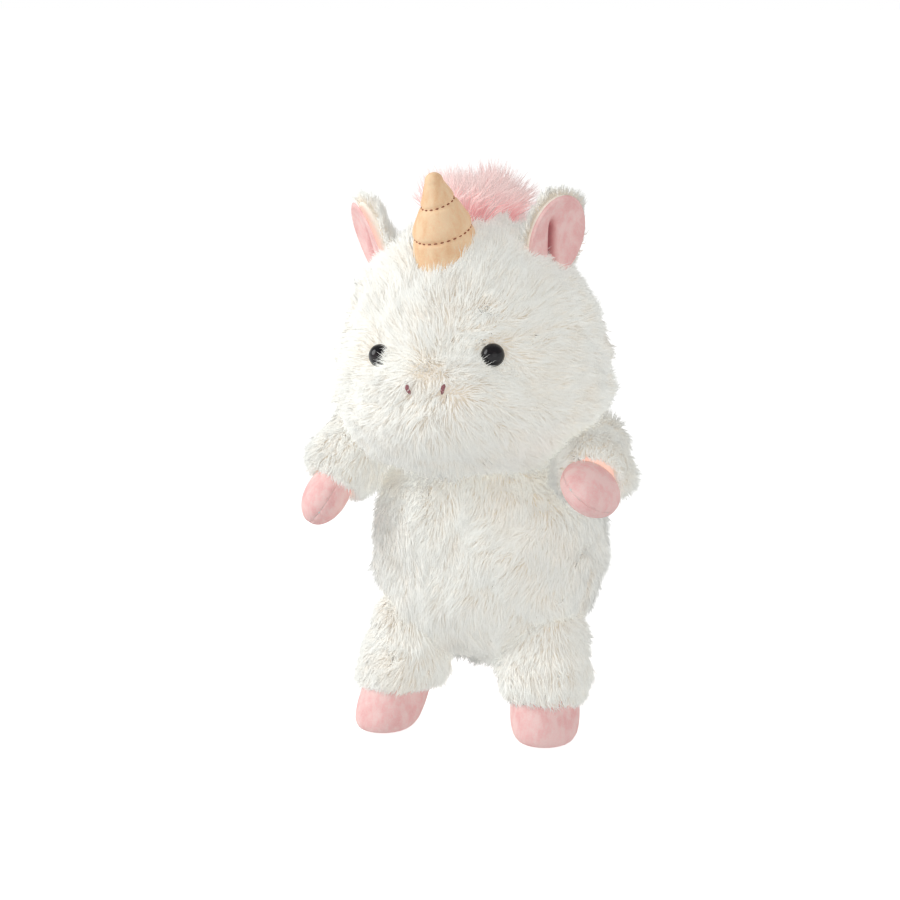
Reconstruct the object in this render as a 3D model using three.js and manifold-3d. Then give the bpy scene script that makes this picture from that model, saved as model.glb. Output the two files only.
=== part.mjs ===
// A plush unicorn: fur panels sewn round fibre stuffing, with velboa hooves and horn, in millimetres.
// It stands on its two soles, faces -Y, and +Z is up. Left and right are the toy's own, so left is +X.
import * as THREE from "three";
import { mergeVertices } from "three/addons/utils/BufferGeometryUtils.js";
import Module from "manifold-3d";

const wasm = await Module();
wasm.setup();

// Fabrics and clearances
const PILE = 8; // fur fabric, its backing and its pile together
const VELBOA = 1.4; // short-nap fabric of hooves, horn and ear linings
const GAP = 0.35; // between any two pieces that touch
const SWING_SLACK = 2; // degrees of room past each end of a joint's range
const SWING_ROOM = 1.5; // extra room round a piece that turns
const SWEEP_STEP = 14; // degrees between the places where a turning piece cuts its space
const FAR = 400; // beyond the toy in every direction
const OUTSIDE = [20, 13]; // facets round and up the outside of head and torso
const INSIDE = [12, 8]; // the same for the cores inside them

// Head, torso and limbs. A round form has a centre, half widths along X and Y, and a height up and down.
const HEAD = { centre: [0, -10, 166], half: [67, 61], up: 85, down: 40, power: 2.1 };
const MUZZLE = { centre: [0, -37, 168], half: [51, 41], up: 35, down: 34, power: 2 };
const TORSO = { centre: [0, 14, 90], half: [57.5, 51], up: 55, down: 61, power: 2.5 };
const HEAD_ROLL = 3.5; // degrees by which the head leans towards the toy's right
const MIDDLE_Y = 4.4; // half way from the muzzle to the back of the tail
const EAR_SEAM_Y = -12; // the seam between face and back of the head
const SIDE_SEAM_Y = 8; // the seam between belly and back of the body
const NECK_HINGE = [0, 34, 140];
const NECK_SWING = [0, 18];

const EYE = { side: 29, height: 191.5, dome: 5.3, rim: 0.8, stem: 1.9, stemLength: 11, sunk: 5 };
const EYE_POCKET = { rise: 9, flare: 3, floor: -1.2 }; // the pile opens round an eye
const WASHER = { radius: 6.5, thickness: 1.5, below: 2 };
const NOSTRIL = { side: 8.5, height: 178.5, half: [1.5, 1.3, 2.9], tilt: 0.42 };

const HORN = { height: 41, base: 15.4, lean: 18, seat: [0, -36, 231.5], root: 1, tip: 4, swell: 0.7 };
const HORN_RINGS = [
  { name: "horn_stitch_lower", height: 12.8, radius: 13.1 },
  { name: "horn_stitch_upper", height: 26.9, radius: 7.6 },
];
const THREAD = { radius: 0.45, around: 16, facets: 5, stand: 0.4 };

const EAR = {
  base: [36.5, -13, 219.5], half: [15, 7, 23.5], root: 5, lean: 20, swing: [-12, 22],
  turn: { left: 42, right: 52 },
};
const LINING = { half: [11.8, 4.6, 18.8], forward: 4.6, raise: 1.5 };
const MANE = { half: 14, rise: 17, front: -24, nape: 176, sunk: 4.4 };
const MUZZLE_PANEL = { rim: 2, depth: 12 }; // how far it reaches past its form and back from its middle
const TAIL = { root: [0, 60, 50], half: [18, 12, 30], lean: 20, ball: 8, back: 4, swing: [0, 58] };
const CLOSING_SEAM = { from: 75, to: 117, half: 0.6, groove: 0.4, depth: [0.8, 2] };
const POUCH = { centre: [0, 36, 60], half: [32, 24], up: 15, down: 22, power: 2 };

const ARM = { ball: 15.5, cuff: 18, sleeve: 25, mouth: 14.2, hollow: 9.5, neck: 4.4 };
const ARM_HOOF = { half: [16, 11.5, 17], middle: -35, top: -22 };
const ARMS = {
  left: { shoulder: [58.2, -9, 141], aim: [0.21, -0.868, -0.27], twist: -132, swing: [-26, 6] },
  right: { shoulder: [-55.6, -12, 143], aim: [-0.34, -0.52, -0.8], twist: -60, swing: [-12, 26] },
};
const LEG = {
  hip: [33.5, -3, 46], ball: 20, cuff: 22.5, mouth: 19.7, hollow: 12, cuffHeight: 24, swing: [-14, 38],
};
const FEET = { left: [4.5, -13], right: [-8, -20] }; // from below the hip to the middle of the sole
const LEG_HOOF = { half: [17.5, 19], height: 31, sole: 5, flat: 0.76 };

const COLOURS = {
  fur: "#f2f0ea",
  velboa: "#ecb6b6",
  gold: "#eabb8a",
  mane: "#e8a5a8",
  thread: "#8a4a2a",
  rose: "#b5797c",
  eye: "#15101a",
  washer: "#d8d8d4",
  fibre: "#fafafa",
  pouch: "#cfcabc",
};

const toRadians = THREE.MathUtils.degToRad;
const vector = (p) => new THREE.Vector3(...p);

// ---- Shapes ----

// A sphere pushed out to |x/a|^p + |y/b|^p + |z/c|^p = 1, with its own heights above and below the middle.
function roundForm({ centre, half, up, down, power }, grow = 0, [around, high] = OUTSIDE) {
  const geometry = new THREE.SphereGeometry(1, around, high).rotateX(Math.PI / 2);
  const place = geometry.attributes.position;
  const point = new THREE.Vector3();
  for (let i = 0; i < place.count; i += 1) {
    point.fromBufferAttribute(place, i);
    const sum = Math.abs(point.x) ** power + Math.abs(point.y) ** power + Math.abs(point.z) ** power;
    const height = (point.z > 0 ? up : down) + grow;
    point.multiplyScalar(sum ** (-1 / power)).multiply(vector([half[0] + grow, half[1] + grow, height]));
    place.setXYZ(i, point.x + centre[0], point.y + centre[1], point.z + centre[2]);
  }
  return geometry;
}

const ellipsoid = (half, centre = [0, 0, 0], facets = [14, 8]) =>
  roundForm({ centre, half, up: half[2], down: half[2], power: 2 }, 0, facets);

// A profile of [radius, height] pairs turned about Z. It runs the way round that points the faces outwards.
function turned(profile, around = 14) {
  const points = profile.map(([radius, height]) => new THREE.Vector2(Math.max(radius, 0), height));
  if (THREE.ShapeUtils.area(points) < 0) points.reverse();
  return new THREE.LatheGeometry(points, around).rotateX(Math.PI / 2);
}

// An arc of [radius, height] pairs, with its angle measured from +Z towards +R.
function arc(radius, height, from, to, steps, middle = 0) {
  return Array.from({ length: steps + 1 }, (_, i) => {
    const angle = toRadians(from + ((to - from) * i) / steps);
    return [middle + radius * Math.sin(angle), height + radius * Math.cos(angle)];
  });
}

function box(low, high) {
  const size = vector(high).sub(vector(low));
  const middle = vector(high).add(vector(low)).multiplyScalar(0.5);
  return new THREE.BoxGeometry(size.x, size.y, size.z).translate(middle.x, middle.y, middle.z);
}

// ---- Joining and cutting ----

function solid(geometry) {
  const bare = geometry.clone();
  for (const name of ["normal", "uv"]) bare.deleteAttribute(name);
  const merged = mergeVertices(bare, 1e-4);
  const mesh = new wasm.Mesh({
    numProp: 3,
    vertProperties: new Float32Array(merged.attributes.position.array),
    triVerts: new Uint32Array(merged.index.array),
  });
  return new wasm.Manifold(mesh);
}

const union = (solids) => solids.reduce((all, one) => all.add(one));
const cut = (from, ...tools) => tools.reduce((rest, tool) => rest.subtract(tool), from);

// The largest of the separate bodies that a cut leaves.
const mainBody = (from) => from.decompose().reduce((a, b) => (a.volume() > b.volume() ? a : b));

// The space that a shape needs as it turns about an axis through a point, between two angles in degrees.
function swept(geometry, through, axis, [from, to], step = SWEEP_STEP) {
  const count = Math.ceil((to - from) / step);
  const angles = Array.from({ length: count + 1 }, (_, i) => from + ((to - from) * i) / count);
  const back = new THREE.Matrix4().makeTranslation(...through.map((c) => -c));
  const there = new THREE.Matrix4().makeTranslation(...through);
  return union(angles.map((angle) => {
    const turn = new THREE.Matrix4().makeRotationAxis(vector(axis).normalize(), toRadians(angle));
    return solid(geometry.clone().applyMatrix4(there.clone().multiply(turn).multiply(back)));
  }));
}

const toy = new THREE.Group();

function material(colour, roughness) {
  const color = COLOURS[colour];
  return new THREE.MeshStandardMaterial({ color, roughness, metalness: 0, flatShading: true });
}

const FINISHES = {
  fur: material("fur", 0.95),
  velboa: material("velboa", 0.85),
  gold: material("gold", 0.85),
  mane: material("mane", 0.9),
  thread: material("thread", 0.7),
  rose: material("rose", 0.6),
  eye: material("eye", 0.08),
  washer: material("washer", 0.5),
  fibre: material("fibre", 1),
  pouch: material("pouch", 0.9),
};

// The geometry of a solid that manifold has joined or cut.
function bufferOf(shape) {
  const { vertProperties, triVerts } = shape.getMesh();
  const geometry = new THREE.BufferGeometry();
  geometry.setAttribute("position", new THREE.BufferAttribute(vertProperties, 3));
  geometry.setIndex(new THREE.BufferAttribute(triVerts, 1));
  return geometry;
}

// Adds a named mesh to a group. The shape is in the group's own frame.
function addPiece(name, shape, finish, group = toy) {
  const geometry = shape.isBufferGeometry ? shape : bufferOf(shape);
  const mesh = new THREE.Mesh(geometry, FINISHES[finish].clone());
  mesh.name = name;
  group.add(mesh);
}

function placedGroup(position, quaternion, parent = toy) {
  const group = new THREE.Group();
  group.position.set(...position);
  group.quaternion.copy(quaternion);
  parent.add(group);
  group.updateMatrixWorld(true);
  return group;
}

// A shape of a placed group, in the toy's own frame.
const inToy = (geometry, group) => geometry.clone().applyMatrix4(group.matrixWorld);

const sides = [
  ["left", 1],
  ["right", -1],
];

// Everything on one side of a plane across X, Y or Z.
function beyond(axis, from, sign) {
  const low = [-FAR, -FAR, -FAR];
  const high = [FAR, FAR, FAR];
  if (sign > 0) low[axis] = from;
  else high[axis] = from;
  return solid(box(low, high));
}

// The head's own frame: the toy's, turned about a line along Y through the middle of the head.
const rollTurn = new THREE.Quaternion().setFromAxisAngle(vector([0, 1, 0]), -toRadians(HEAD_ROLL));
const rollMiddle = vector(HEAD.centre);
const rollShift = rollMiddle.clone().sub(rollMiddle.clone().applyQuaternion(rollTurn));
const headGroup = placedGroup(rollShift.toArray(), rollTurn);

// ---- Where things sit on the head ----

// The point of a round form's front at a given x and z, and the outward direction there.
function frontOf({ centre, half, up, down, power }, x, z) {
  const height = z > centre[2] ? up : down;
  const rest = 1 - Math.abs(x / half[0]) ** power - Math.abs((z - centre[2]) / height) ** power;
  const depth = half[1] * Math.max(rest, 0) ** (1 / power);
  const slope = (value, size) => (Math.sign(value) * Math.abs(value / size) ** (power - 1)) / size;
  const normal = vector([slope(x, half[0]), slope(-depth, half[1]), slope(z - centre[2], height)]);
  return { point: vector([x, centre[1] - depth, z]), normal: normal.normalize() };
}

const alongZ = (direction) => new THREE.Quaternion().setFromUnitVectors(vector([0, 0, 1]), direction);

// ---- Arms ----

// The sleeve's outside: a ball at the shoulder that widens to the cuff. The arm points to -Z.
function armOutline(grow = 0) {
  return [
    ...arc(ARM.ball + grow, 0, 0, 90, 4),
    [ARM.cuff - 1 + grow, -ARM.sleeve / 2],
    [ARM.cuff + grow, -ARM.sleeve + 6],
    [ARM.cuff - 1 + grow, -ARM.sleeve - grow],
  ];
}

// The part of the sleeve beyond its ball, which sweeps out a space as the arm swings.
const armReach = (grow) =>
  turned([[0, -2], [ARM.ball + grow, -2], ...armOutline(grow).slice(-3), [0, -ARM.sleeve - grow]]);

const armSleeve = () =>
  turned([
    ...armOutline(),
    [ARM.mouth, -ARM.sleeve],
    [ARM.mouth, -ARM.sleeve + 10],
    ...arc(ARM.hollow, 0, 90, 0, 3),
  ]);

function addArm(side, { shoulder, aim, twist, swing }) {
  const turn = new THREE.Quaternion().setFromUnitVectors(vector([0, 0, -1]), vector(aim).normalize());
  turn.multiply(new THREE.Quaternion().setFromAxisAngle(vector([0, 0, 1]), toRadians(twist)));
  const group = placedGroup(shoulder, turn);
  const { half, top } = ARM_HOOF;
  const middle = [0, 0, ARM_HOOF.middle];
  const above = beyond(2, top, 1);
  const outside = cut(solid(ellipsoid(half, middle, [16, 12])), above);
  const inside = half.map((size) => size - VELBOA);
  const shell = cut(outside, solid(ellipsoid(inside, middle)));
  const core = cut(solid(ellipsoid(inside.map((size) => size - GAP), middle)), above);
  const plug = turned([
    ...arc(ARM.hollow - GAP, 0, 0, 90, 3),
    [ARM.hollow - GAP, top + 7],
    [ARM.neck, top + 3],
    [ARM.neck, top - 2],
    [0, top - 2],
  ]);
  addPiece(`arm_skin_${side}`, armSleeve(), "fur", group);
  addPiece(`arm_hoof_upper_${side}`, mainBody(shell.intersect(beyond(1, GAP / 2, 1))), "velboa", group);
  addPiece(`arm_hoof_lower_${side}`, mainBody(shell.intersect(beyond(1, -GAP / 2, -1))), "velboa", group);
  addPiece(`arm_stuffing_${side}`, core.add(solid(plug)), "fibre", group);
  return { group, axis: vector(aim).cross(vector([0, 0, 1])).normalize().toArray(), shoulder, swing };
}

// ---- Legs ----

// Below the hip the leg slants outwards and forwards: each height moves by its share of the foot's offset.
function slanted(geometry, side) {
  const [across, forward] = FEET[side];
  const place = geometry.attributes.position;
  for (let i = 0; i < place.count; i += 1) {
    const share = Math.max(-place.getZ(i), 0) / LEG.hip[2];
    place.setXY(i, place.getX(i) + across * share, place.getY(i) + forward * share);
  }
  return geometry;
}

const legOutline = (grow = 0) => [
  ...arc(LEG.ball + grow, 0, 0, 80, 4),
  [LEG.cuff + grow, -8],
  [LEG.cuff + grow, LEG.cuffHeight - LEG.hip[2] + 3],
  [LEG.cuff - 2 + grow, LEG.cuffHeight - LEG.hip[2] - grow],
];

const legReach = (grow) => {
  const end = LEG.cuffHeight - LEG.hip[2] - grow;
  return turned([[0, 1], [LEG.ball + grow, 1], ...legOutline(grow).slice(-3), [0, end]]);
};

const hoofOutline = (shrink) => {
  const { half, height, sole } = LEG_HOOF;
  const radius = half[0] - shrink;
  const ground = -LEG.hip[2] + shrink;
  return [
    [radius * 0.94, ground + height - shrink],
    [radius, ground + height * 0.6],
    [radius, ground + height * 0.38],
    [radius * 0.93, ground + sole],
    [radius * LEG_HOOF.flat, ground],
    [0, ground],
  ];
};

function addLeg(side, sign) {
  const group = placedGroup([sign * LEG.hip[0], LEG.hip[1], LEG.hip[2]], new THREE.Quaternion());
  const deep = LEG_HOOF.half[1] / LEG_HOOF.half[0];
  const cuffAt = LEG.cuffHeight - LEG.hip[2];
  const sleeve = turned([
    ...legOutline(),
    [LEG.mouth, cuffAt],
    [LEG.mouth, cuffAt + 9],
    ...arc(LEG.hollow, 0, 90, 0, 3),
  ]);
  const top = -LEG.hip[2] + LEG_HOOF.height;
  const cup = (shrink) => solid(slanted(turned([[0, top], ...hoofOutline(shrink)]).scale(1, deep, 1), side));
  const mouthCut = beyond(2, top - GAP, 1);
  const shell = cut(cup(0), cup(VELBOA), mouthCut);
  const plug = turned([...arc(LEG.hollow - GAP, 0, 0, 90, 3), [LEG.hollow - GAP, top - 4], [0, top - 4]]);
  addPiece(`leg_skin_${side}`, slanted(sleeve, side), "fur", group);
  addPiece(`leg_hoof_${side}`, mainBody(shell), "velboa", group);
  const core = cut(cup(VELBOA + GAP), mouthCut).add(solid(slanted(plug, side)));
  addPiece(`leg_stuffing_${side}`, core, "fibre", group);
  return { group, hip: group.position.toArray(), reach: slanted(legReach(SWING_ROOM), side) };
}

// ---- Ears ----

const earForm = (grow) =>
  ellipsoid(EAR.half.map((size) => size + grow), [0, 0, EAR.half[2] - EAR.root], [16, 10]);

const liningForm = (grow) => {
  const centre = [0, -LINING.forward, EAR.half[2] - EAR.root + LINING.raise];
  return ellipsoid(LINING.half.map((size) => size + grow), centre, [14, 8]);
};

function addEar(side, sign) {
  const lean = new THREE.Quaternion().setFromAxisAngle(vector([0, 1, 0]), toRadians(sign * EAR.lean));
  const turn = new THREE.Quaternion().setFromAxisAngle(vector([0, 0, 1]), toRadians(sign * EAR.turn[side]));
  const [out, ...rest] = EAR.base;
  const group = placedGroup([sign * out, ...rest], lean.clone().multiply(turn), headGroup);
  const back = cut(solid(earForm(0)), solid(liningForm(GAP)));
  const lining = cut(solid(liningForm(0)), solid(liningForm(0).translate(0, -VELBOA, 0)));
  addPiece(`ear_back_${side}`, mainBody(back), "fur", group);
  addPiece(`ear_lining_${side}`, mainBody(lining), "velboa", group);
  const axis = vector([1, 0, 0]).transformDirection(group.matrixWorld).toArray();
  return { group, axis, base: new THREE.Vector3().setFromMatrixPosition(group.matrixWorld).toArray() };
}

// ---- Tail ----

const tailTurn = new THREE.Quaternion().setFromAxisAngle(vector([1, 0, 0]), toRadians(TAIL.lean));
const tailGroup = placedGroup(TAIL.root, tailTurn);
const tailForm = (grow) => {
  const [wide, thick, long] = TAIL.half;
  return ellipsoid([wide + grow, thick + grow, long + grow], [0, TAIL.back, TAIL.ball - long], [16, 10]);
};

// ---- The limbs are placed first, because head and torso make room for them ----

const arms = sides.map(([side]) => addArm(side, ARMS[side]));
const legs = sides.map(([side, sign]) => addLeg(side, sign));
const ears = sides.map(([side, sign]) => addEar(side, sign));

const ballRoom = (centre, radius) => solid(ellipsoid(Array(3).fill(radius + SWING_ROOM), centre, [16, 10]));
const slack = ([from, to]) => [from - SWING_SLACK, to + SWING_SLACK];
const armRoom = union(arms.map(({ group, shoulder, axis, swing }) =>
  swept(inToy(armReach(SWING_ROOM), group), shoulder, axis, slack(swing)).add(ballRoom(shoulder, ARM.ball))));
const legRoom = union(legs.map(({ group, hip, reach }) =>
  swept(inToy(reach, group), hip, [-1, 0, 0], slack(LEG.swing)).add(ballRoom(hip, LEG.ball))));
const earRoom = union(ears.map(({ group, base, axis }) =>
  swept(inToy(earForm(SWING_ROOM), group), base, axis, slack(EAR.swing), 2 * SWEEP_STEP)));

// ---- Head ----

// Seen from the head, the torso and the arms turn forward about the neck as the head tilts back.
const tilt = [0, NECK_SWING[1] + 1];
const neckRoom = swept(roundForm(TORSO, 1), NECK_HINGE, [1, 0, 0], tilt, 20);
const armPockets = union([tilt[0], (tilt[0] + tilt[1]) / 2, tilt[1]].map((angle) =>
  armRoom.translate(NECK_HINGE.map((c) => -c)).rotate([angle, 0, 0]).translate(NECK_HINGE)));

const rolled = (...form) => solid(inToy(roundForm(...form), headGroup));
const headForm = rolled(HEAD).add(rolled(MUZZLE));
const headCore = (shrink) => rolled(HEAD, -shrink, INSIDE).add(rolled(MUZZLE, -shrink, INSIDE));

const eyes = sides.map(([side, sign]) => {
  const { point, normal } = frontOf(HEAD, sign * EYE.side, EYE.height);
  const seat = point.clone().addScaledVector(normal, -EYE.sunk);
  return { side, group: placedGroup(seat.toArray(), alongZ(normal), headGroup) };
});
const eyeProfile = (grow) => [
  ...arc(EYE.dome + grow, 0, 0, 90, 4),
  [EYE.dome + grow, -EYE.rim - grow],
  [EYE.stem + grow, -EYE.rim - grow],
  [EYE.stem + grow, -EYE.stemLength - grow],
  [0, -EYE.stemLength - grow],
];
const washerAt = -(PILE - EYE.sunk) - WASHER.below;
const washerProfile = (grow, bore) => [
  [bore, washerAt + grow],
  [WASHER.radius + grow, washerAt + grow],
  [WASHER.radius + grow, washerAt - WASHER.thickness - grow],
  [bore, washerAt - WASHER.thickness - grow],
];
const eyeRoom = union(eyes.map(({ group }) => {
  const { rise, flare, floor } = EYE_POCKET;
  const pocket = turned([[0, rise], [EYE.dome + flare, rise], [EYE.dome + GAP, floor], [0, floor]]);
  const hardware = [eyeProfile(GAP), washerProfile(GAP, 0)];
  return union([pocket, ...hardware.map((p) => turned(p))].map((g) => solid(inToy(g, group))));
}));

const nostrils = sides.map(([side, sign]) => {
  const { point, normal } = frontOf(MUZZLE, sign * NOSTRIL.side, NOSTRIL.height);
  const slant = new THREE.Quaternion().setFromAxisAngle(vector([0, 1, 0]), sign * NOSTRIL.tilt);
  const seat = point.clone().addScaledVector(normal, -NOSTRIL.half[1]);
  return { side, group: placedGroup(seat.toArray(), slant, headGroup) };
});
const nostrilForm = (grow) => ellipsoid(NOSTRIL.half.map((size) => size + grow), [0, 0, 0], [10, 6]);
const nostrilRoom = union(nostrils.map(({ group }) => solid(inToy(nostrilForm(GAP), group))));

// ---- Horn: a cone that two rings of stitches pull in ----

const hornTurn = new THREE.Quaternion().setFromAxisAngle(vector([1, 0, 0]), toRadians(HORN.lean));
const hornGroup = placedGroup(HORN.seat, hornTurn, headGroup);

// The cone's radius falls from base to tip and bulges by a half sine between each ring and the next.
function hornOutline(shrink, steps = 3) {
  const [lower, upper] = HORN_RINGS;
  const marks = [
    [-HORN.root, HORN.base],
    [lower.height, lower.radius],
    [upper.height, upper.radius],
    [HORN.height - HORN.tip, HORN.tip],
  ];
  const outline = marks.slice(1).flatMap(([height, radius], i) => {
    const [startHeight, startRadius] = marks[i];
    return Array.from({ length: steps }, (_, k) => {
      const share = k / steps;
      const bulge = HORN.swell * Math.sin(Math.PI * share);
      return [startRadius + (radius - startRadius) * share + bulge - shrink,
        startHeight + (height - startHeight) * share];
    });
  });
  const cap = arc(HORN.tip - shrink, HORN.height - HORN.tip, 90, 0, 3);
  return [...outline, ...cap];
}

const hornForm = (grow) => turned([[0, -HORN.root - grow], ...hornOutline(-grow)]);
const hornSkin = turned([...hornOutline(0), ...hornOutline(VELBOA).reverse(), hornOutline(0)[0]]);
const hornFilling = turned([[0, -HORN.root], ...hornOutline(VELBOA + GAP)]);
const ringReach = (radius) => radius + GAP + THREAD.radius + THREAD.stand;
const ringRooms = HORN_RINGS.map(({ height, radius }) => {
  const edge = ringReach(radius) + THREAD.radius + GAP;
  const half = THREAD.radius + GAP;
  return turned([[0, height + half], [edge, height + half], [edge, height - half], [0, height - half]]);
});
const hornRoom = union([hornForm(GAP), ...ringRooms].map((shape) => solid(inToy(shape, hornGroup))));
addPiece("horn_skin", hornSkin, "gold", hornGroup);
addPiece("horn_stuffing", hornFilling, "fibre", hornGroup);
for (const { name, height, radius } of HORN_RINGS) {
  const ring = new THREE.TorusGeometry(ringReach(radius), THREAD.radius, THREAD.facets, THREAD.around);
  addPiece(name, ring.translate(0, 0, height), "thread", hornGroup);
}

// ---- Mane: a crest of long pile from behind the horn to the nape ----

const manePart = (grow) => {
  const { centre, up, down, power } = HEAD;
  const crest = { centre, half: [MANE.half, HEAD.half[1] + MANE.rise], up: up + MANE.rise, down, power };
  const region = box([-FAR, MANE.front - grow, MANE.nape - grow], [FAR, FAR, FAR]);
  return rolled(crest, grow, [16, 20]).intersect(solid(inToy(region, headGroup)));
};
const maneSeat = rolled(HEAD, -MANE.sunk);
const mane = cut(manePart(0), maneSeat, earRoom);
addPiece("mane", mainBody(mane), "mane");

// ---- Head panels and stuffing ----

const headRooms = [neckRoom, armPockets, earRoom, eyeRoom, nostrilRoom, hornRoom];
const maneRoom = cut(manePart(GAP), rolled(HEAD, -MANE.sunk - GAP));
const headShell = cut(headForm, headCore(PILE), ...headRooms, maneRoom);
const muzzleRegion = (grow) => rolled(MUZZLE, MUZZLE_PANEL.rim + grow, INSIDE)
  .intersect(beyond(1, MUZZLE.centre[1] + MUZZLE_PANEL.depth + grow, -1));
const muzzle = headShell.intersect(muzzleRegion(0));
const face = cut(headShell, muzzleRegion(GAP));
addPiece("head_front", mainBody(face.intersect(beyond(1, EAR_SEAM_Y - GAP / 2, -1))), "fur");
addPiece("head_back", mainBody(face.intersect(beyond(1, EAR_SEAM_Y + GAP / 2, 1))), "fur");
addPiece("muzzle", mainBody(muzzle), "fur");
const headFilling = cut(headCore(PILE + GAP), ...headRooms);
addPiece("head_stuffing", mainBody(headFilling), "fibre");
for (const { side, group } of eyes) {
  addPiece(`eye_${side}`, turned(eyeProfile(0)), "eye", group);
  const ring = washerProfile(0, EYE.stem + GAP);
  addPiece(`eye_washer_${side}`, turned([...ring, ring[0]]), "washer", group);
}
for (const { side, group } of nostrils) addPiece(`nostril_${side}`, nostrilForm(0), "rose", group);

// ---- Torso panels, stuffing, pellet pouch and the closing seam ----

const tailRoom = swept(inToy(tailForm(SWING_ROOM), tailGroup), TAIL.root, [1, 0, 0], slack(TAIL.swing), 21);
addPiece("tail", tailForm(0), "mane", tailGroup);

const torsoRooms = [armRoom, legRoom, tailRoom];
const torsoForm = solid(roundForm(TORSO));
const torsoCore = (shrink) => solid(roundForm(TORSO, -shrink, INSIDE));
const torsoShell = cut(torsoForm, torsoCore(PILE), ...torsoRooms);
const seamSlot = (grow) => {
  const { from, to, half } = CLOSING_SEAM;
  const low = [-half - grow, TORSO.centre[1] + TORSO.half[1] / 2, from - grow];
  return solid(box(low, [half + grow, FAR, to + grow]));
};
addPiece("body_front", mainBody(torsoShell.intersect(beyond(1, SIDE_SEAM_Y - GAP / 2, -1))), "fur");
const rear = cut(torsoShell.intersect(beyond(1, SIDE_SEAM_Y + GAP / 2, 1)), seamSlot(CLOSING_SEAM.groove));
addPiece("body_back_left", mainBody(rear.intersect(beyond(0, GAP / 2, 1))), "fur");
addPiece("body_back_right", mainBody(rear.intersect(beyond(0, -GAP / 2, -1))), "fur");
const pouchForm = (grow) => solid(roundForm(POUCH, grow, INSIDE));
const filling = cut(torsoCore(PILE + GAP), ...torsoRooms);
addPiece("bean_pouch", mainBody(pouchForm(0).intersect(filling)), "pouch");
addPiece("body_stuffing", mainBody(cut(filling, pouchForm(GAP))), "fibre");
const [seamFloor, seamTop] = CLOSING_SEAM.depth.map((height) => solid(roundForm(TORSO, height - PILE)));
addPiece("closing_seam", mainBody(cut(seamTop, seamFloor).intersect(seamSlot(0))), "thread");

// The origin is on the ground, under the middle of the toy's depth.
toy.position.y = -MIDDLE_Y;

export default toy;
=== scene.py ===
"""Plush unicorn: stuffed panels under long white pile, velboa hooves and horn, pink mane and tail."""
from collections import namedtuple
from math import cos, pi, radians, sin

import bmesh
import bpy
import numpy as np
from bpy.props import FloatProperty, FloatVectorProperty, PointerProperty
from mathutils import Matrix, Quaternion, Vector


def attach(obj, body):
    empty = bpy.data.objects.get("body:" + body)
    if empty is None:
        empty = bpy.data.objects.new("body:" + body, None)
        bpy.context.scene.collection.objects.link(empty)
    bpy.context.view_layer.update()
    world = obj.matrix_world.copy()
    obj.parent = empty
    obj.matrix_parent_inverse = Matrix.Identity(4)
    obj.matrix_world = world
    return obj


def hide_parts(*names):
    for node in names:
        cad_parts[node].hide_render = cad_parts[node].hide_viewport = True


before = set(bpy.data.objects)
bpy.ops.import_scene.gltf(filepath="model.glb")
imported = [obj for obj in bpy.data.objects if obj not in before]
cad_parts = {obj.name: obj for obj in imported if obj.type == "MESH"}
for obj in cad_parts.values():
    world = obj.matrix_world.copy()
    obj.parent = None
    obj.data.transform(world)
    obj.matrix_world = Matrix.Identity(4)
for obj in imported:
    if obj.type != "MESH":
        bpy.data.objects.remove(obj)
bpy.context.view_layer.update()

bl_info = {
    "name": "Plush unicorn",
    "version": (1, 0, 0),
    "blender": (4, 5, 0),
    "location": "3D View > Sidebar > Plush",
    "description": "Builds a plush unicorn piece by piece round its packed frame",
    "category": "Add Mesh",
}

MM = 0.001

# ---- Driving sizes, in millimetres, the same as the frame's ----

HEAD_ROLL = 3.5
Form = namedtuple("Form", "centre half up down power roll", defaults=(0,))
HEAD = Form((0, -14.4, 166), (67, 61), 85, 40, 2.1, HEAD_ROLL)
MUZZLE = Form((0, -41.4, 168), (51, 41), 35, 34, 2.0, HEAD_ROLL)
TORSO = Form((0, 9.6, 90), (57.5, 51), 55, 61, 2.5)
NECK_HINGE = (0, 29.6, 140)
NECK_SWING = (0, 9, 18)
EAR_SEAM_Y = -16.4
SIDE_SEAM_Y = 3.6
MUZZLE_BACK_Y = -29.4
NOSE = (-1, -80, 181)
EYE = {"side": 29, "height": 191.5, "dome": 5.3, "stem": 1.9, "length": 11, "sunk": 5}
NOSTRIL = {"side": 8.5, "height": 178.5, "long": 2.7, "tilt": 0.34}
HORN = {"seat": (0, -40.4, 231.5), "lean": 18, "height": 41, "base": 15.4, "tip": 4}
HORN_RINGS = (12.8, 26.9)
HORN_MARKS = ((15.6, -2), (15.2, 2), (14.5, 8), (13.8, 12.8), (13.1, 17), (10.8, 22), (8.4, 26.9),
              (7.2, 30), (5.3, 34.5), (4.2, 37))
HORN_STITCHES = {"lower": 27, "upper": 17}
EAR = {"base": (36.5, -17.4, 219.5), "half": (15, 7, 23.5), "lean": 20, "turn": {"left": 42, "right": 52},
       "middle": 18.5}
LINING = {"half": (11.8, 18.8), "forward": 4.6, "raise": 1.5}
TAIL = {"root": (0, 55.6, 50), "half": (18, 12, 30), "lean": 20, "ball": 8, "back": 4}
ARM = {"ball": 15.5, "cuff": 18, "sleeve": 25, "hoof": (16, 11.5, 17), "hoof_at": 35}
ARMS = {
    "left": {"shoulder": (58.2, -13.4, 141), "aim": (0.21, -0.868, -0.27), "twist": -132},
    "right": {"shoulder": (-55.6, -16.4, 143), "aim": (-0.34, -0.52, -0.8), "twist": -60},
}
LEG = {"hip": (33.5, -7.4, 46), "ball": 20, "cuff": 22.5, "end": 24}
FEET = {"left": (4.5, -13), "right": (-8, -20)}
LEG_HOOF = {"half": (17.5, 19), "height": 31}
SIDES = {"left": 1, "right": -1}
FUR_WALL = 1.8
VELBOA_WALL = 1.0
STUFFING_PRESSURE = 4
STUFFING_FRAMES = 20
FLOOR_HALF = 60000
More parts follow.
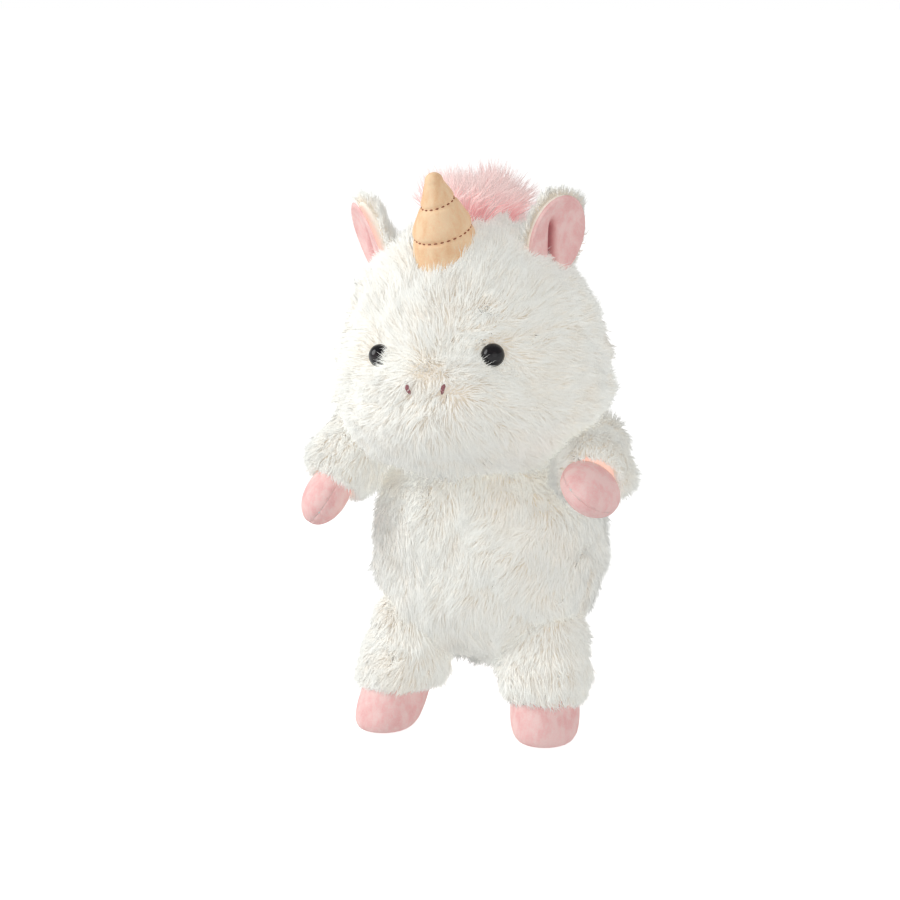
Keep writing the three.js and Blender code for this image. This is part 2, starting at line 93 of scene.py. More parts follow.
PIECE_HAIRS = 32000


def linear(code):
    """An sRGB hex colour as linear red, green and blue."""
    parts = [int(code[i:i + 2], 16) / 255 for i in (1, 3, 5)]
    return tuple(p / 12.92 if p <= 0.04045 else ((p + 0.055) / 1.055) ** 2.4 for p in parts)


def colour_setting(name, description, code):
    return FloatVectorProperty(name=name, description=description, default=linear(code),
                               subtype="COLOR", size=3, min=0, max=1)


def length_setting(name, description, millimetres):
    return FloatProperty(name=name, description=description, default=millimetres * MM,
                         unit="LENGTH", subtype="DISTANCE", min=0)


class PlushFurSettings(bpy.types.PropertyGroup):
    head_pile: length_setting("Head pile", "Length of the white pile on the head", 11)
    body_pile: length_setting("Body pile", "Length of the white pile on the body", 11)
    limb_pile: length_setting("Limb pile", "Length of the white pile on the arms and legs", 9.5)
    ear_pile: length_setting("Ear pile", "Length of the white pile on the ears", 8)
    mane_pile: length_setting("Mane pile", "Length of the pink pile of mane and tail", 27)
    hair_width: length_setting("Hair width", "Width of one lock of pile at its bend", 0.5)
    density: FloatProperty(name="Density", description="Locks of pile on a square millimetre",
                           default=2.3, min=0.1)
    white_tip: colour_setting("Fur tips", "Colour of the outer ends of the white pile", "#FAFBF6")
    # Painted shade: the warm root colour darkens the white pile between its hairs, where shade falls in the
    # partings.
    white_root_shade: colour_setting("Fur roots", "Warm colour between the hairs, near the cloth", "#F3E6D4")


class PlushTrimSettings(bpy.types.PropertyGroup):
    velboa: colour_setting("Velboa", "Pink of hooves and ear linings", "#FCD4D0")
    velboa_deep: colour_setting("Velboa shade", "Pink of the velboa where its nap lies away", "#F0B6B4")
    # Painted shade: a crimson put deep in the fold of an ear lining, where shade falls.
    fold_shade: colour_setting("Crease", "Crimson deep in the fold of an ear lining", "#A83A4A")
    gold: colour_setting("Horn", "Pale gold of the horn", "#FBD8B2")
    gold_deep: colour_setting("Horn shade", "Gold of the horn where its nap lies away", "#EEBD90")
    mane_tip: colour_setting("Mane tips", "Pale ends of the pink pile", "#F8DEDA")
    # Painted shade: the deeper rose darkens the pink pile at its roots, in the partings; it is also the rose
    # of the mane's backing cloth.
    mane_rose_and_root_shade: colour_setting("Mane roots", "Rose of the pink pile near the cloth", "#E29496")
    thread: colour_setting("Horn thread", "Brown of the running stitches", "#B0643C")
    rose: colour_setting("Nostril thread", "Rose of the satin stitches", "#AE6C72")


class PlushStageSettings(bpy.types.PropertyGroup):
    azimuth: FloatProperty(name="Azimuth", description="Turn of the camera towards the toy's left side",
                           default=radians(20), subtype="ANGLE")
    elevation: FloatProperty(name="Elevation", description="Height angle of the camera",
                             default=radians(12), subtype="ANGLE")
    distance: FloatProperty(name="Distance", description="From the camera to the middle of the view",
                            default=1.01, unit="LENGTH")
    aim: FloatVectorProperty(name="Aim", description="The point in the middle of the view",
                             default=(-0.0140, -0.0095, 0.1358), subtype="XYZ", unit="LENGTH")
    focal: FloatProperty(name="Focal length", description="Lens of the camera in millimetres", default=85)
    key_power: FloatProperty(name="Key light", description="Power of the big soft light in watts", default=11)
    world: FloatProperty(name="Sky", description="Strength of the even white light from above", default=0.43)
    world_below: FloatProperty(name="Bounce", description="Strength of the even white light from below",
                               default=0.48)
    floor: colour_setting("Floor", "Colour of the floor", "#F6F6F5")


# ---- Surfaces: whole arrays of points in millimetres ----


def unit(vectors):
    return vectors / np.maximum(np.linalg.norm(vectors, axis=-1, keepdims=True), 1e-9)


def fade(values, start, end):
    """0 at start and 1 at end, with a level slope at both."""
    share = np.clip((values - start) / (end - start), 0, 1)
    return share * share * (3 - 2 * share)


def waves(points, wavelength, seed, count=14):
    """A smooth random field: the sum of sine waves in random directions, near the given wavelength."""
    rng = np.random.default_rng(seed)
    heading = unit(rng.normal(size=(count, 3))) * (2 * pi / (wavelength * rng.uniform(0.7, 1.4, (count, 1))))
    return np.sin(points @ heading.T + rng.uniform(0, 2 * pi, count)).sum(-1) / np.sqrt(count / 2)


def downhill(points, wavelength, seed, count=14):
    """The direction in which the field of waves falls: minus the sum of each cosine times its heading."""
    rng = np.random.default_rng(seed)
    heading = unit(rng.normal(size=(count, 3))) * (2 * pi / (wavelength * rng.uniform(0.7, 1.4, (count, 1))))
    slope = np.cos(points @ heading.T + rng.uniform(0, 2 * pi, count))
    return -(slope @ heading) * wavelength / (2 * pi) / np.sqrt(count / 2)


def drift(points, wavelength, seed):
    """A smooth random vector: three fields of waves."""
    return np.stack([waves(points, wavelength, seed + i) for i in range(3)], -1)


def sphere_directions(rows, around):
    """Unit directions on a grid: the polar angle from +Z down the rows, the azimuth along the columns."""
    polar = np.linspace(0, pi, rows)[:, None]
    azimuth = np.linspace(0, 2 * pi, around, endpoint=False)[None]
    return np.stack([np.sin(polar) * np.cos(azimuth), np.sin(polar) * np.sin(azimuth),
                     np.cos(polar) * np.ones_like(azimuth)], -1)


def roll_matrix(degrees):
    """The turn by which the head leans to the toy's right, about a line along Y."""
    return np.array(Quaternion((0, 1, 0), radians(-degrees)).to_matrix())


def pushed_out(directions, form, grow=0.0):
    """Each direction is lengthened from the centre until |x/a|^p + |y/b|^p + |z/c|^p = 1, then rolled."""
    height = np.where(directions[..., 2] > 0, form.up, form.down) + grow
    wide, deep = (np.full_like(height, size + grow) for size in form.half)
    half = np.stack([wide, deep, height], -1)
    total = (np.abs(directions / half) ** form.power).sum(-1, keepdims=True)
    return np.array(form.centre) + (directions * total ** (-1 / form.power)) @ roll_matrix(form.roll).T


def level(points, form, grow=0.0):
    """|x/a|^p + |y/b|^p + |z/c|^p of a form: under 1 inside it."""
    offset = (points - np.array(form.centre)) @ roll_matrix(form.roll)
    height = np.where(offset[..., 2] > 0, form.up, form.down) + grow
    return (np.abs(offset[..., 0] / (form.half[0] + grow)) ** form.power
            + np.abs(offset[..., 1] / (form.half[1] + grow)) ** form.power
            + np.abs(offset[..., 2] / height) ** form.power)


def front_of(form, x, z):
    """The front point of a form at x and z, where y takes what is left of the sum, and its normal."""
    height = form.up if z > form.centre[2] else form.down
    rest = 1 - abs(x / form.half[0]) ** form.power - abs((z - form.centre[2]) / height) ** form.power
    depth = form.half[1] * max(rest, 0) ** (1 / form.power)
    offset = np.array([x - form.centre[0], -depth, z - form.centre[2]])
    sizes = np.array([form.half[0], form.half[1], height])
    normal = np.sign(offset) * np.abs(offset / sizes) ** (form.power - 1) / sizes
    turn = roll_matrix(form.roll)
    return np.array(form.centre) + turn @ offset, turn @ unit(normal)


def closed_grid(grid):
    """Points and faces of a grid that wraps round, whose first and last rows are single points."""
    rows, around = grid.shape[:2]
    points = np.concatenate([grid[:1, 0], grid[1:-1].reshape(-1, 3), grid[-1:, 0]])
    ring = np.arange(around)
    after = np.roll(ring, -1)
    start = 1 + np.arange(rows - 3)[:, None] * around
    quads = np.stack([start + ring, start + around + ring, start + around + after, start + after], -1)
    last = 1 + (rows - 3) * around
    top = np.stack([np.zeros(around, int), 1 + ring, 1 + after], -1)
    bottom = np.stack([np.full(around, len(points) - 1), last + after, last + ring], -1)
    return points, [quads.reshape(-1, 4), top, bottom]


def joined(grids):
    """The points and faces of several closed grids as one mesh's."""
    points, faces, start = [], [], 0
    for grid in grids:
        part, part_faces = closed_grid(grid)
        points.append(part)
        faces += [f + start for f in part_faces]
        start += len(part)
    return np.concatenate(points), faces


def turned(profile, around):
    """A profile of (radius, height) pairs, from the top down, carried round the Z axis."""
    radius, height = np.array(profile, float).T
    angle = np.linspace(0, 2 * pi, around, endpoint=False)
    return np.stack([radius[:, None] * np.cos(angle), radius[:, None] * np.sin(angle),
                     np.repeat(height[:, None], around, 1)], -1)


def smooth_profile(marks, steps):
    """Points along a profile's marks: between two marks a cubic, with slopes from the marks beside them."""
    marks = np.array(marks, float)
    ends = np.concatenate([2 * marks[:1] - marks[1:2], marks, 2 * marks[-1:] - marks[-2:-1]])
    share = np.linspace(0, 1, steps, endpoint=False)[:, None]
    parts = []
    for a, b, c, d in zip(ends, ends[1:], ends[2:], ends[3:]):
        parts.append(0.5 * (2 * b + (c - a) * share + (2 * a - 5 * b + 4 * c - d) * share ** 2
                            + (3 * b - a - 3 * c + d) * share ** 3))
    result = np.concatenate(parts + [marks[-1:]])
    result[:, 0] = np.maximum(result[:, 0], 0)
    return result


def placed(points, turn, place):
    """Local points turned by a quaternion and moved to their place."""
    return points @ np.array(turn.to_matrix()).T + np.array(place)


# ---- Meshes and objects ----


def mesh_of(name, points, faces):
    """A mesh from points in millimetres and a list of index arrays, one for each face size."""
    mesh = bpy.data.meshes.new(name)
    corners = np.concatenate([f.ravel() for f in faces]).astype(np.int32)
    sizes = np.concatenate([np.full(len(f), f.shape[1]) for f in faces])
    starts = np.concatenate([[0], np.cumsum(sizes)[:-1]]).astype(np.int32)
    mesh.vertices.add(len(points))
    mesh.vertices.foreach_set("co", (points * MM).astype(np.float32).ravel())
    mesh.loops.add(len(corners))
    mesh.loops.foreach_set("vertex_index", corners)
    mesh.polygons.add(len(sizes))
    mesh.polygons.foreach_set("loop_start", starts)
    mesh.update(calc_edges=True)
    mesh.shade_smooth()
    return mesh


def arrays_of(mesh):
    """A mesh's points in millimetres, its triangles and its vertex normals."""
    points = np.empty(len(mesh.vertices) * 3, np.float32)
    mesh.vertices.foreach_get("co", points)
    mesh.calc_loop_triangles()
    triangles = np.empty(len(mesh.loop_triangles) * 3, np.int32)
    mesh.loop_triangles.foreach_get("vertices", triangles)
    normals = np.empty(len(mesh.vertices) * 3, np.float32)
    mesh.vertex_normals.foreach_get("vector", normals)
    points, normals = (array.reshape(-1, 3).astype(float) for array in (points, normals))
    return points / MM, triangles.reshape(-1, 3), normals


def show(name, mesh, material, body, *nodes):
    """Adds a mesh to the scene as a piece that moves with a body and stands for the named CAD nodes."""
    piece = bpy.data.objects.new(name, mesh)
    bpy.context.scene.collection.objects.link(piece)
    mesh.materials.clear()
    mesh.materials.append(material)
    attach(piece, body)
    if nodes:
        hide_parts(*nodes)
    return piece


def stuffed(points, faces, voxel, swell, held=None):
    """A closed form as even squares of the voxel's size, swollen by its stuffing.

    Cloth under pressure moves each point for some frames, by no more than swell, and held(points)
    marks the points that a seam keeps in place."""
    piece = bpy.data.objects.new("form", mesh_of("form", points, faces))
    bpy.context.scene.collection.objects.link(piece)
    squares = piece.modifiers.new("squares", "REMESH")
    squares.mode = "VOXEL"
    squares.voxel_size = voxel * MM
    graph = bpy.context.evaluated_depsgraph_get()
    piece.data = bpy.data.meshes.new_from_object(piece.evaluated_get(graph))
    piece.modifiers.clear()
    start, _, normals = arrays_of(piece.data)
    fixed = held(start) if held else np.zeros(len(start), bool)
    moved = swollen(piece, start, swell, fixed)
    piece.data.vertices.foreach_set("co", (moved * MM).astype(np.float32).ravel())
    piece.data.update()
    mesh = piece.data
    bpy.data.objects.remove(piece)
    mesh.shade_smooth()
    return mesh


def swollen(piece, start, swell, fixed):
    """The points of a piece after frames of cloth under pressure, each moved by at most swell."""
    if fixed.any():
        seam = piece.vertex_groups.new(name="seam")
        seam.add(np.flatnonzero(fixed).tolist(), 1.0, "REPLACE")
    cloth = piece.modifiers.new("stuffing", "CLOTH")
    if fixed.any():
        cloth.settings.vertex_group_mass = "seam"
    cloth.settings.use_pressure = True
    cloth.settings.uniform_pressure_force = STUFFING_PRESSURE
    cloth.settings.effector_weights.gravity = 0
    for step in range(1, STUFFING_FRAMES + 1):
        bpy.context.scene.frame_set(step)
    graph = bpy.context.evaluated_depsgraph_get()
    mesh = bpy.data.meshes.new_from_object(piece.evaluated_get(graph))
    shift = arrays_of(mesh)[0] - start
    reach = np.linalg.norm(shift, axis=1, keepdims=True)
    piece.modifiers.clear()
    bpy.data.meshes.remove(mesh)
    bpy.context.scene.frame_set(1)
    return start + shift * np.minimum(1, swell / np.maximum(reach, 1e-9))


def cut_panel(mesh, *cuts):
    """A copy of a mesh with only what lies behind each cut, a plane's point and its direction."""
    work = bmesh.new()
    work.from_mesh(mesh)
    for point, direction in cuts:
        parts = work.verts[:] + work.edges[:] + work.faces[:]
        bmesh.ops.bisect_plane(work, geom=parts, dist=1e-6, plane_co=Vector(point) * MM,
                               plane_no=Vector(direction), clear_outer=True)
    panel = bpy.data.meshes.new("panel")
    work.to_mesh(panel)
    work.free()
    panel.shade_smooth()
    return panel


def cloth_wall(piece, thickness):
    """Gives an open panel its cloth's thickness, inwards, with a closed rim."""
    wall = piece.modifiers.new("cloth", "SOLIDIFY")
    wall.thickness = thickness * MM
    wall.offset = -1
    wall.use_rim = True
    return piece


# ---- Pile: closed tapered hairs over a panel ----

HAIR_FACES = np.array([(0, 2, 1), (0, 3, 2), (0, 1, 3), (1, 2, 4), (2, 3, 4), (3, 1, 4)])
HAIR_HEIGHTS = np.array([0, 0.5, 0.5, 0.5, 1.0])
SKY = (-0.35, -0.75, 0.8)


def scattered(mesh, density, rng):
    """Random points on a mesh, as many on each square millimetre as the density, and their normals.

    A triangle is picked by its area, and a point in it by two random shares of its edges."""
    points, triangles, normals = arrays_of(mesh)
    a, b, c = (points[triangles[:, i]] for i in range(3))
    area = np.linalg.norm(np.cross(b - a, c - a), axis=1) / 2
    count = int(area.sum() * density)
    pick = rng.choice(len(area), count, p=area / area.sum())
    u, v = rng.random((2, count, 1))
    over = (u + v) > 1
    u, v = np.where(over, 1 - u, u), np.where(over, 1 - v, v)
    mix = lambda values: (values[triangles[pick, 0]] * (1 - u - v) + values[triangles[pick, 1]] * u
                          + values[triangles[pick, 2]] * v)
    return mix(points), unit(mix(normals))


def hair_mesh(name, roots, normals, first, second, length, width, tint):
    """Closed hairs: a point in the cloth, a triangle round the bend and a point at the tip.

    The bend is the root plus half the length along the first direction, and the tip is the bend
    plus half the length along the second. The triangle lies across the first direction."""
    rng = np.random.default_rng(len(roots))
    side = unit(np.cross(first, rng.normal(size=first.shape)))
    other = np.cross(first, side)
    angle = np.arange(3) * 2 * pi / 3
    ring = side[:, None] * np.cos(angle)[:, None] + other[:, None] * np.sin(angle)[:, None]
    bend = roots + first * length[:, None] / 2
    tip = bend + second * length[:, None] / 2
    low = roots - first
    middle = bend[:, None] + ring * width[:, None, None] / 2
    points = np.concatenate([low[:, None], middle, tip[:, None]], 1).reshape(-1, 3)
    faces = (HAIR_FACES[None] + 5 * np.arange(len(roots))[:, None, None]).reshape(-1, 3)
    mesh = mesh_of(name, points, [faces])
    soft = unit(normals[:, None] + 0.35 * np.concatenate([first[:, None], ring, second[:, None]], 1))
    mesh.attributes.new("custom_normal", "FLOAT_VECTOR", "POINT").data.foreach_set(
        "vector", soft.astype(np.float32).ravel())
    height = np.broadcast_to(HAIR_HEIGHTS, (len(roots), 5))
    mesh.attributes.new("pile", "FLOAT", "POINT").data.foreach_set("value", height.astype(np.float32).ravel())
    chance = np.repeat(tint, 5)
    mesh.attributes.new("lock", "FLOAT", "POINT").data.foreach_set("value", chance.astype(np.float32))
    return mesh


def grow_pile(name, body, dye, panel, length, density, flow, keep, seed, fine=1.0,
              stand=(0.75, 0.3), clump=0.27, stray=0.13, height=None, thin=0.15):
    """Grows white or pink pile on a panel and shows it as pieces of at most PIECE_HAIRS hairs.

    Each hair's first half leans from the normal towards the flow, and its second half lies more
    along it. Tips run down a smooth random landscape, so that they gather in locks. On a thin part,
    light comes through the pile from above, so its shading normals are turned towards the sky."""
    rng = np.random.default_rng(seed)
    roots, normals = scattered(panel, density, rng)
    kept = keep(roots, normals)
    roots, normals = roots[kept], normals[kept]
    way = flow(roots, normals) + 0.25 * drift(roots, 26, seed + 50)
    way = way - normals * (way * normals).sum(1, keepdims=True)
    way = way / np.maximum(np.linalg.norm(way, axis=1, keepdims=True), 0.4)
    length = length / MM
    long = length * (1 + 0.1 * waves(roots, 15, seed + 7) + 0.1 * rng.normal(size=len(roots)))
    if height:
        long = long * height(roots, normals)
    long = np.clip(long, 0.25 * length, 1.4 * length)
    jitter = rng.normal(size=(2, len(roots), 3)) * stray
    lean = 1 + 0.25 * waves(roots, 19, seed + 9)[:, None]
    first = unit(normals * stand[0] + way * 0.65 * lean + jitter[0])
    gather = downhill(roots, 5.5, seed + 3) + 0.6 * downhill(roots, 11, seed + 4)
    second = unit(normals * stand[1] + way * 0.95 * lean + gather * clump + jitter[1])
    tint = rng.random(len(roots))
    girth = bpy.context.scene.plush_fur.hair_width / MM * fine * rng.uniform(0.75, 1.25, len(roots))
    order = np.argsort(roots[:, 0])
    count = int(np.ceil(len(order) / PIECE_HAIRS))
    for index, part in enumerate(np.array_split(order, count)):
        label = name if count == 1 else f"{name}_{index + 1}"
        lit = normals[part] * (1 - thin) + np.array(SKY) * thin
        mesh = hair_mesh(label, roots[part], lit, first[part], second[part], long[part],
                         girth[part], tint[part])
        show(label, mesh, finish(f"polyester_pile_{dye}"), body)


# ---- Materials ----


def add_node(tree, kind, sockets=None, **settings):
    """Adds a node with its settings, and fills its sockets with values or with links."""
    made = tree.nodes.new(kind)
    for key, value in settings.items():
        setattr(made, key, value)
    for socket, value in (sockets or {}).items():
        if isinstance(value, bpy.types.NodeSocket):
            tree.links.new(value, made.inputs[socket])
        else:
            made.inputs[socket].default_value = value
    return made


def new_material(name):
    """A material, its node tree, its Principled shader and a socket with Object coordinates."""
    made = bpy.data.materials.new(name)
    made.use_nodes = True
    tree = made.node_tree
    shader = tree.nodes["Principled BSDF"]
    place = add_node(tree, "ShaderNodeTexCoord").outputs["Object"]
    return made, tree, shader, place


def opaque(colour):
    return (*colour, 1.0)


def blend_colours(tree, share, first, second):
    """A mix of two colours, or colour sockets, by a share."""
    mix = add_node(tree, "ShaderNodeMix", {0: share, 6: first, 7: second}, data_type="RGBA")
    return mix.outputs[2]


def spread(tree, value, low, high, to_low=0.0, to_high=1.0):
    """A value carried from one range to another, with soft ends."""
    return add_node(tree, "ShaderNodeMapRange", {0: value, 1: low, 2: high, 3: to_low, 4: to_high},
                    interpolation_type="SMOOTHSTEP").outputs[0]


def noise(tree, place, millimetres, detail=2.0, roughness=0.5):
    """Noise whose features are about the given size."""
    return add_node(tree, "ShaderNodeTexNoise", {"Vector": place, "Scale": 1 / (millimetres * MM),
                                                 "Detail": detail, "Roughness": roughness}).outputs["Fac"]


def pile_material(name, root, tip, warm_patches, glow):
    """Brushed polyester pile: pale tips over warmer roots, each hair a little different. The warmer roots are
    painted shade, so that the partings between locks look deep and soft. The glow is painted light: an
    emission in the hairs' own colour that stands for light soaking through them."""
    made, tree, shader, place = new_material(name)
    pile = add_node(tree, "ShaderNodeAttribute", attribute_name="pile").outputs["Fac"]
    lock = add_node(tree, "ShaderNodeAttribute", attribute_name="lock").outputs["Fac"]
    patches = noise(tree, place, 22, 3)
    reach = add_node(tree, "ShaderNodeMath", {0: pile, 1: spread(tree, lock, 0, 1, 0.82, 1.12)},
                     operation="MULTIPLY").outputs[0]
    along = spread(tree, reach, 0.05, 0.8)
    # Painted shade: each hair runs from the shaded root colour at the cloth to the pale tip.
    colour = blend_colours(tree, along, opaque(root), opaque(tip))
    patch = spread(tree, patches, 0.52, 0.75, 0.0, warm_patches)
    shader.inputs["Base Color"].default_value = opaque(tip)
    surface = blend_colours(tree, patch, colour, opaque(root))
    tree.links.new(surface, shader.inputs["Base Color"])
    # Painted light: the hairs glow in their own colour, by the glow's strength.
    tree.links.new(surface, shader.inputs["Emission Color"])
    shader.inputs["Roughness"].default_value = 0.8
    shader.inputs["Specular IOR Level"].default_value = 0.1
    shader.inputs["Emission Strength"].default_value = glow
    return made


def velboa_material(name, light, deep, nap=0.55, fold_shade=None):
    """Velboa, a short-napped knitted polyester: the nap lies in brushed patches a few millimetres wide
    that turn paler or deeper, a fine grain breaks the light, and a sheen pales the edges. Deep in a
    fold the colour is painted shade: it turns to a crimson that stands for light passing through the nap
    again and again."""
    made, tree, shader, place = new_material(name)
    stretched = add_node(tree, "ShaderNodeMapping", {"Vector": place, "Scale": (1, 1, 0.6)}).outputs[0]
    brushed = noise(tree, stretched, 5.5, 3, 0.6)
    fine = noise(tree, place, 0.7, 3, 0.65)
    patch = spread(tree, brushed, 0.35, 0.7)
    colour = blend_colours(tree, patch, opaque(light), opaque(deep))
    grain = spread(tree, fine, 0.35, 0.72, 0.0, 0.28)
    pale = tuple(min(1.0, c * 1.2 + 0.02) for c in light)
    shader.inputs["Base Color"].default_value = opaque(light)
    surface = blend_colours(tree, grain, colour, opaque(pale))
    # Painted shade: deep in the ear's fold the colour turns to the fold's crimson.
    if fold_shade:
        fold = add_node(tree, "ShaderNodeAttribute", attribute_name="fold").outputs["Fac"]
        surface = blend_colours(tree, fold, surface, opaque(fold_shade))
    tree.links.new(surface, shader.inputs["Base Color"])
    bump = add_node(tree, "ShaderNodeBump", {"Height": fine, "Strength": nap, "Distance": 0.25 * MM})
    soft = add_node(tree, "ShaderNodeBump", {"Height": brushed, "Strength": 0.35, "Distance": 0.8 * MM,
                                             "Normal": bump.outputs[0]})
    tree.links.new(soft.outputs[0], shader.inputs["Normal"])
    shader.inputs["Roughness"].default_value = 0.92
    shader.inputs["Specular IOR Level"].default_value = 0.15
    shader.inputs["Sheen Weight"].default_value = 0.2
    shader.inputs["Sheen Roughness"].default_value = 0.35
    shader.inputs["Sheen Tint"].default_value = opaque(pale)
    # Painted light: a faint emission in the velboa's light pink, standing for light scattered inside the nap.
    shader.inputs["Emission Color"].default_value = opaque(light)
    shader.inputs["Emission Strength"].default_value = 0.1
    return made


def backing_material(name, colour, glow=0.3):
    """Knitted backing cloth under the pile: matt, with a fine weave that shows only in the partings. The
    glow is painted light: an emission in the cloth's own colour that stands for light soaking down between
    the hairs."""
    made, tree, shader, place = new_material(name)
    knit = add_node(tree, "ShaderNodeTexVoronoi",
                    {"Vector": place, "Scale": 1 / (1.1 * MM)}).outputs["Distance"]
    shade = tuple(c * 0.86 for c in colour)
    shader.inputs["Base Color"].default_value = opaque(colour)
    tree.links.new(blend_colours(tree, spread(tree, knit, 0.1, 0.7, 0.0, 0.6), opaque(colour), opaque(shade)),
                   shader.inputs["Base Color"])
    # Painted light: the backing glows in its own colour.
    shader.inputs["Emission Color"].default_value = opaque(colour)
    shader.inputs["Emission Strength"].default_value = glow
    shader.inputs["Roughness"].default_value = 0.95
    shader.inputs["Specular IOR Level"].default_value = 0.1
    return made


def thread_material(name, colour):
    """Spun polyester thread: its plies cross the thread as fine slanting ridges with a little gloss, and
    painted shade darkens the grooves between them.
    """
    made, tree, shader, place = new_material(name)
    plies = add_node(tree, "ShaderNodeTexWave", {"Vector": place, "Scale": 1 / (2.4 * MM), "Distortion": 1.5},
                     bands_direction="DIAGONAL").outputs["Fac"]
    shade = tuple(c * 0.6 for c in colour)
    shader.inputs["Base Color"].default_value = opaque(colour)
    # Painted shade: the colour darkens to the shade colour in the low bands of the ply ridges.
    tree.links.new(blend_colours(tree, plies, opaque(shade), opaque(colour)), shader.inputs["Base Color"])
    bump = add_node(tree, "ShaderNodeBump", {"Height": plies, "Strength": 0.5, "Distance": 0.1 * MM})
    tree.links.new(bump.outputs[0], shader.inputs["Normal"])
    shader.inputs["Roughness"].default_value = 0.55
    shader.inputs["Sheen Weight"].default_value = 0.2
    return made


def eye_material(name):
    """Polished moulded acrylic: near-black with a faint brown bloom in soft patches, and a clear gloss."""
    made, tree, shader, place = new_material(name)
    bloom = noise(tree, place, 3, 1)
    tree.links.new(blend_colours(tree, spread(tree, bloom, 0.45, 0.8, 0.0, 0.5), opaque(linear("#0D0910")),
                                 opaque(linear("#2A1A1C"))), shader.inputs["Base Color"])
    shader.inputs["Base Color"].default_value = opaque(linear("#0D0910"))
    scuffs = noise(tree, place, 0.6, 2)
    tree.links.new(spread(tree, scuffs, 0.3, 0.8, 0.05, 0.14), shader.inputs["Roughness"])
    shader.inputs["Specular IOR Level"].default_value = 0.25
    shader.inputs["Coat Weight"].default_value = 0.25
    shader.inputs["Coat Roughness"].default_value = 0.04
    return made


def fibre_material(name, colour, millimetres):
    """Loose polyester fill, or a plain woven pouch: matt and white, mottled with painted shade where its
    tufted bump sinks.
    """
    made, tree, shader, place = new_material(name)
    tufts = noise(tree, place, millimetres, 5, 0.7)
    shade = tuple(c * 0.82 for c in colour)
    shader.inputs["Base Color"].default_value = opaque(colour)
    # Painted shade: the colour darkens where the tuft noise, and so the bump, is low.
    tree.links.new(blend_colours(tree, spread(tree, tufts, 0.35, 0.65), opaque(shade), opaque(colour)),
                   shader.inputs["Base Color"])
    bump = add_node(tree, "ShaderNodeBump", {"Height": tufts, "Strength": 0.6, "Distance": 0.5 * MM})
    tree.links.new(bump.outputs[0], shader.inputs["Normal"])
    shader.inputs["Roughness"].default_value = 1.0
    return made


def plastic_material(name, colour):
    """Injection-moulded polyethylene washer: waxy, with a faint moulded texture."""
    made, tree, shader, place = new_material(name)
    grit = noise(tree, place, 0.8, 2)
    shader.inputs["Base Color"].default_value = opaque(colour)
    tree.links.new(spread(tree, grit, 0.3, 0.7, 0.4, 0.55), shader.inputs["Roughness"])
    return made


def finish(name):
    """A material by name, made once."""
    made = bpy.data.materials.get(name)
    if made:
        return made
    fur = bpy.context.scene.plush_fur
    trim = bpy.context.scene.plush_trim
    white = linear("#F2EFEA")
    makers = {
        # The last number of each pile is its glow, painted light.
        "polyester_pile_white": lambda: pile_material(name, fur.white_root_shade, fur.white_tip, 0.25, 0.26),
        "polyester_pile_pink": lambda: pile_material(name, trim.mane_rose_and_root_shade, trim.mane_tip, 0.3, 0.48),
        "knit_backing_white": lambda: backing_material(name, linear("#F4ECE0")),
        "knit_backing_pink": lambda: backing_material(name, trim.mane_rose_and_root_shade),
        "velboa_pink": lambda: velboa_material(name, trim.velboa, trim.velboa_deep),
        "velboa_ear": lambda: velboa_material(name, trim.velboa, trim.velboa_deep, fold_shade=trim.fold_shade),
        "velboa_gold": lambda: velboa_material(name, trim.gold, trim.gold_deep),
        "spun_thread_brown": lambda: thread_material(name, trim.thread),
        "satin_thread_rose": lambda: thread_material(name, trim.rose),
        "spun_thread_white": lambda: thread_material(name, white),
        "moulded_acrylic_black": lambda: eye_material(name),
        "polyester_fill": lambda: fibre_material(name, white, 4),
        "woven_pouch_cloth": lambda: fibre_material(name, white, 1.2),
        "moulded_polyethylene": lambda: plastic_material(name, white),
    }
    return makers[name]()


# ---- Frames of the limbs ----


def arm_turn(side):
    """The turn that brings an arm's -Z to its aim, after a twist about its own length."""
    arm = ARMS[side]
    swing = Vector((0, 0, -1)).rotation_difference(Vector(arm["aim"]).normalized())
    return swing @ Quaternion((0, 0, 1), radians(arm["twist"]))


def head_turn():
    return Quaternion((0, 1, 0), radians(-HEAD_ROLL))


def on_head(place):
    """A place on the level head, carried along as the head rolls about its middle."""
    middle = np.array(HEAD.centre)
    return middle + (np.array(place) - middle) @ roll_matrix(HEAD_ROLL).T


def ear_turn(side):
    sign = SIDES[side]
    lean = Quaternion((0, 1, 0), radians(sign * EAR["lean"] - HEAD_ROLL))
    return lean @ Quaternion((0, 0, 1), radians(sign * EAR["turn"][side]))


def ear_place(side):
    return on_head(np.array(EAR["base"]) * (SIDES[side], 1, 1))


def horn_turn():
    return head_turn() @ Quaternion((1, 0, 0), radians(HORN["lean"]))


def horn_place():
    return on_head(HORN["seat"])


def local(points, turn, place):
    """Points seen from a placed frame."""
    return (points - np.array(place)) @ np.array(turn.to_matrix())


# ---- Head ----

HEAD_SKIN = 5.5
MUZZLE_SKIN = 5.0


def seated(points, form, hinge, angles):
    """Points in a form are moved out to it, along lines from its centre, at each tilt about a hinge."""
    for angle in angles:
        turn = Quaternion((1, 0, 0), radians(angle))
        hinge_point = np.array(hinge)
        matrix = np.array(turn.to_matrix())
        seen = (points - hinge_point) @ matrix + hinge_point
        depth = level(seen, form)
        offset = seen - np.array(form.centre)
        stretch = np.maximum(depth, 1e-3)[:, None] ** (-1 / form.power)
        out = np.where((depth < 1)[:, None], offset * stretch, offset)
        points = (out + np.array(form.centre) - hinge_point) @ matrix.T + hinge_point
    return points


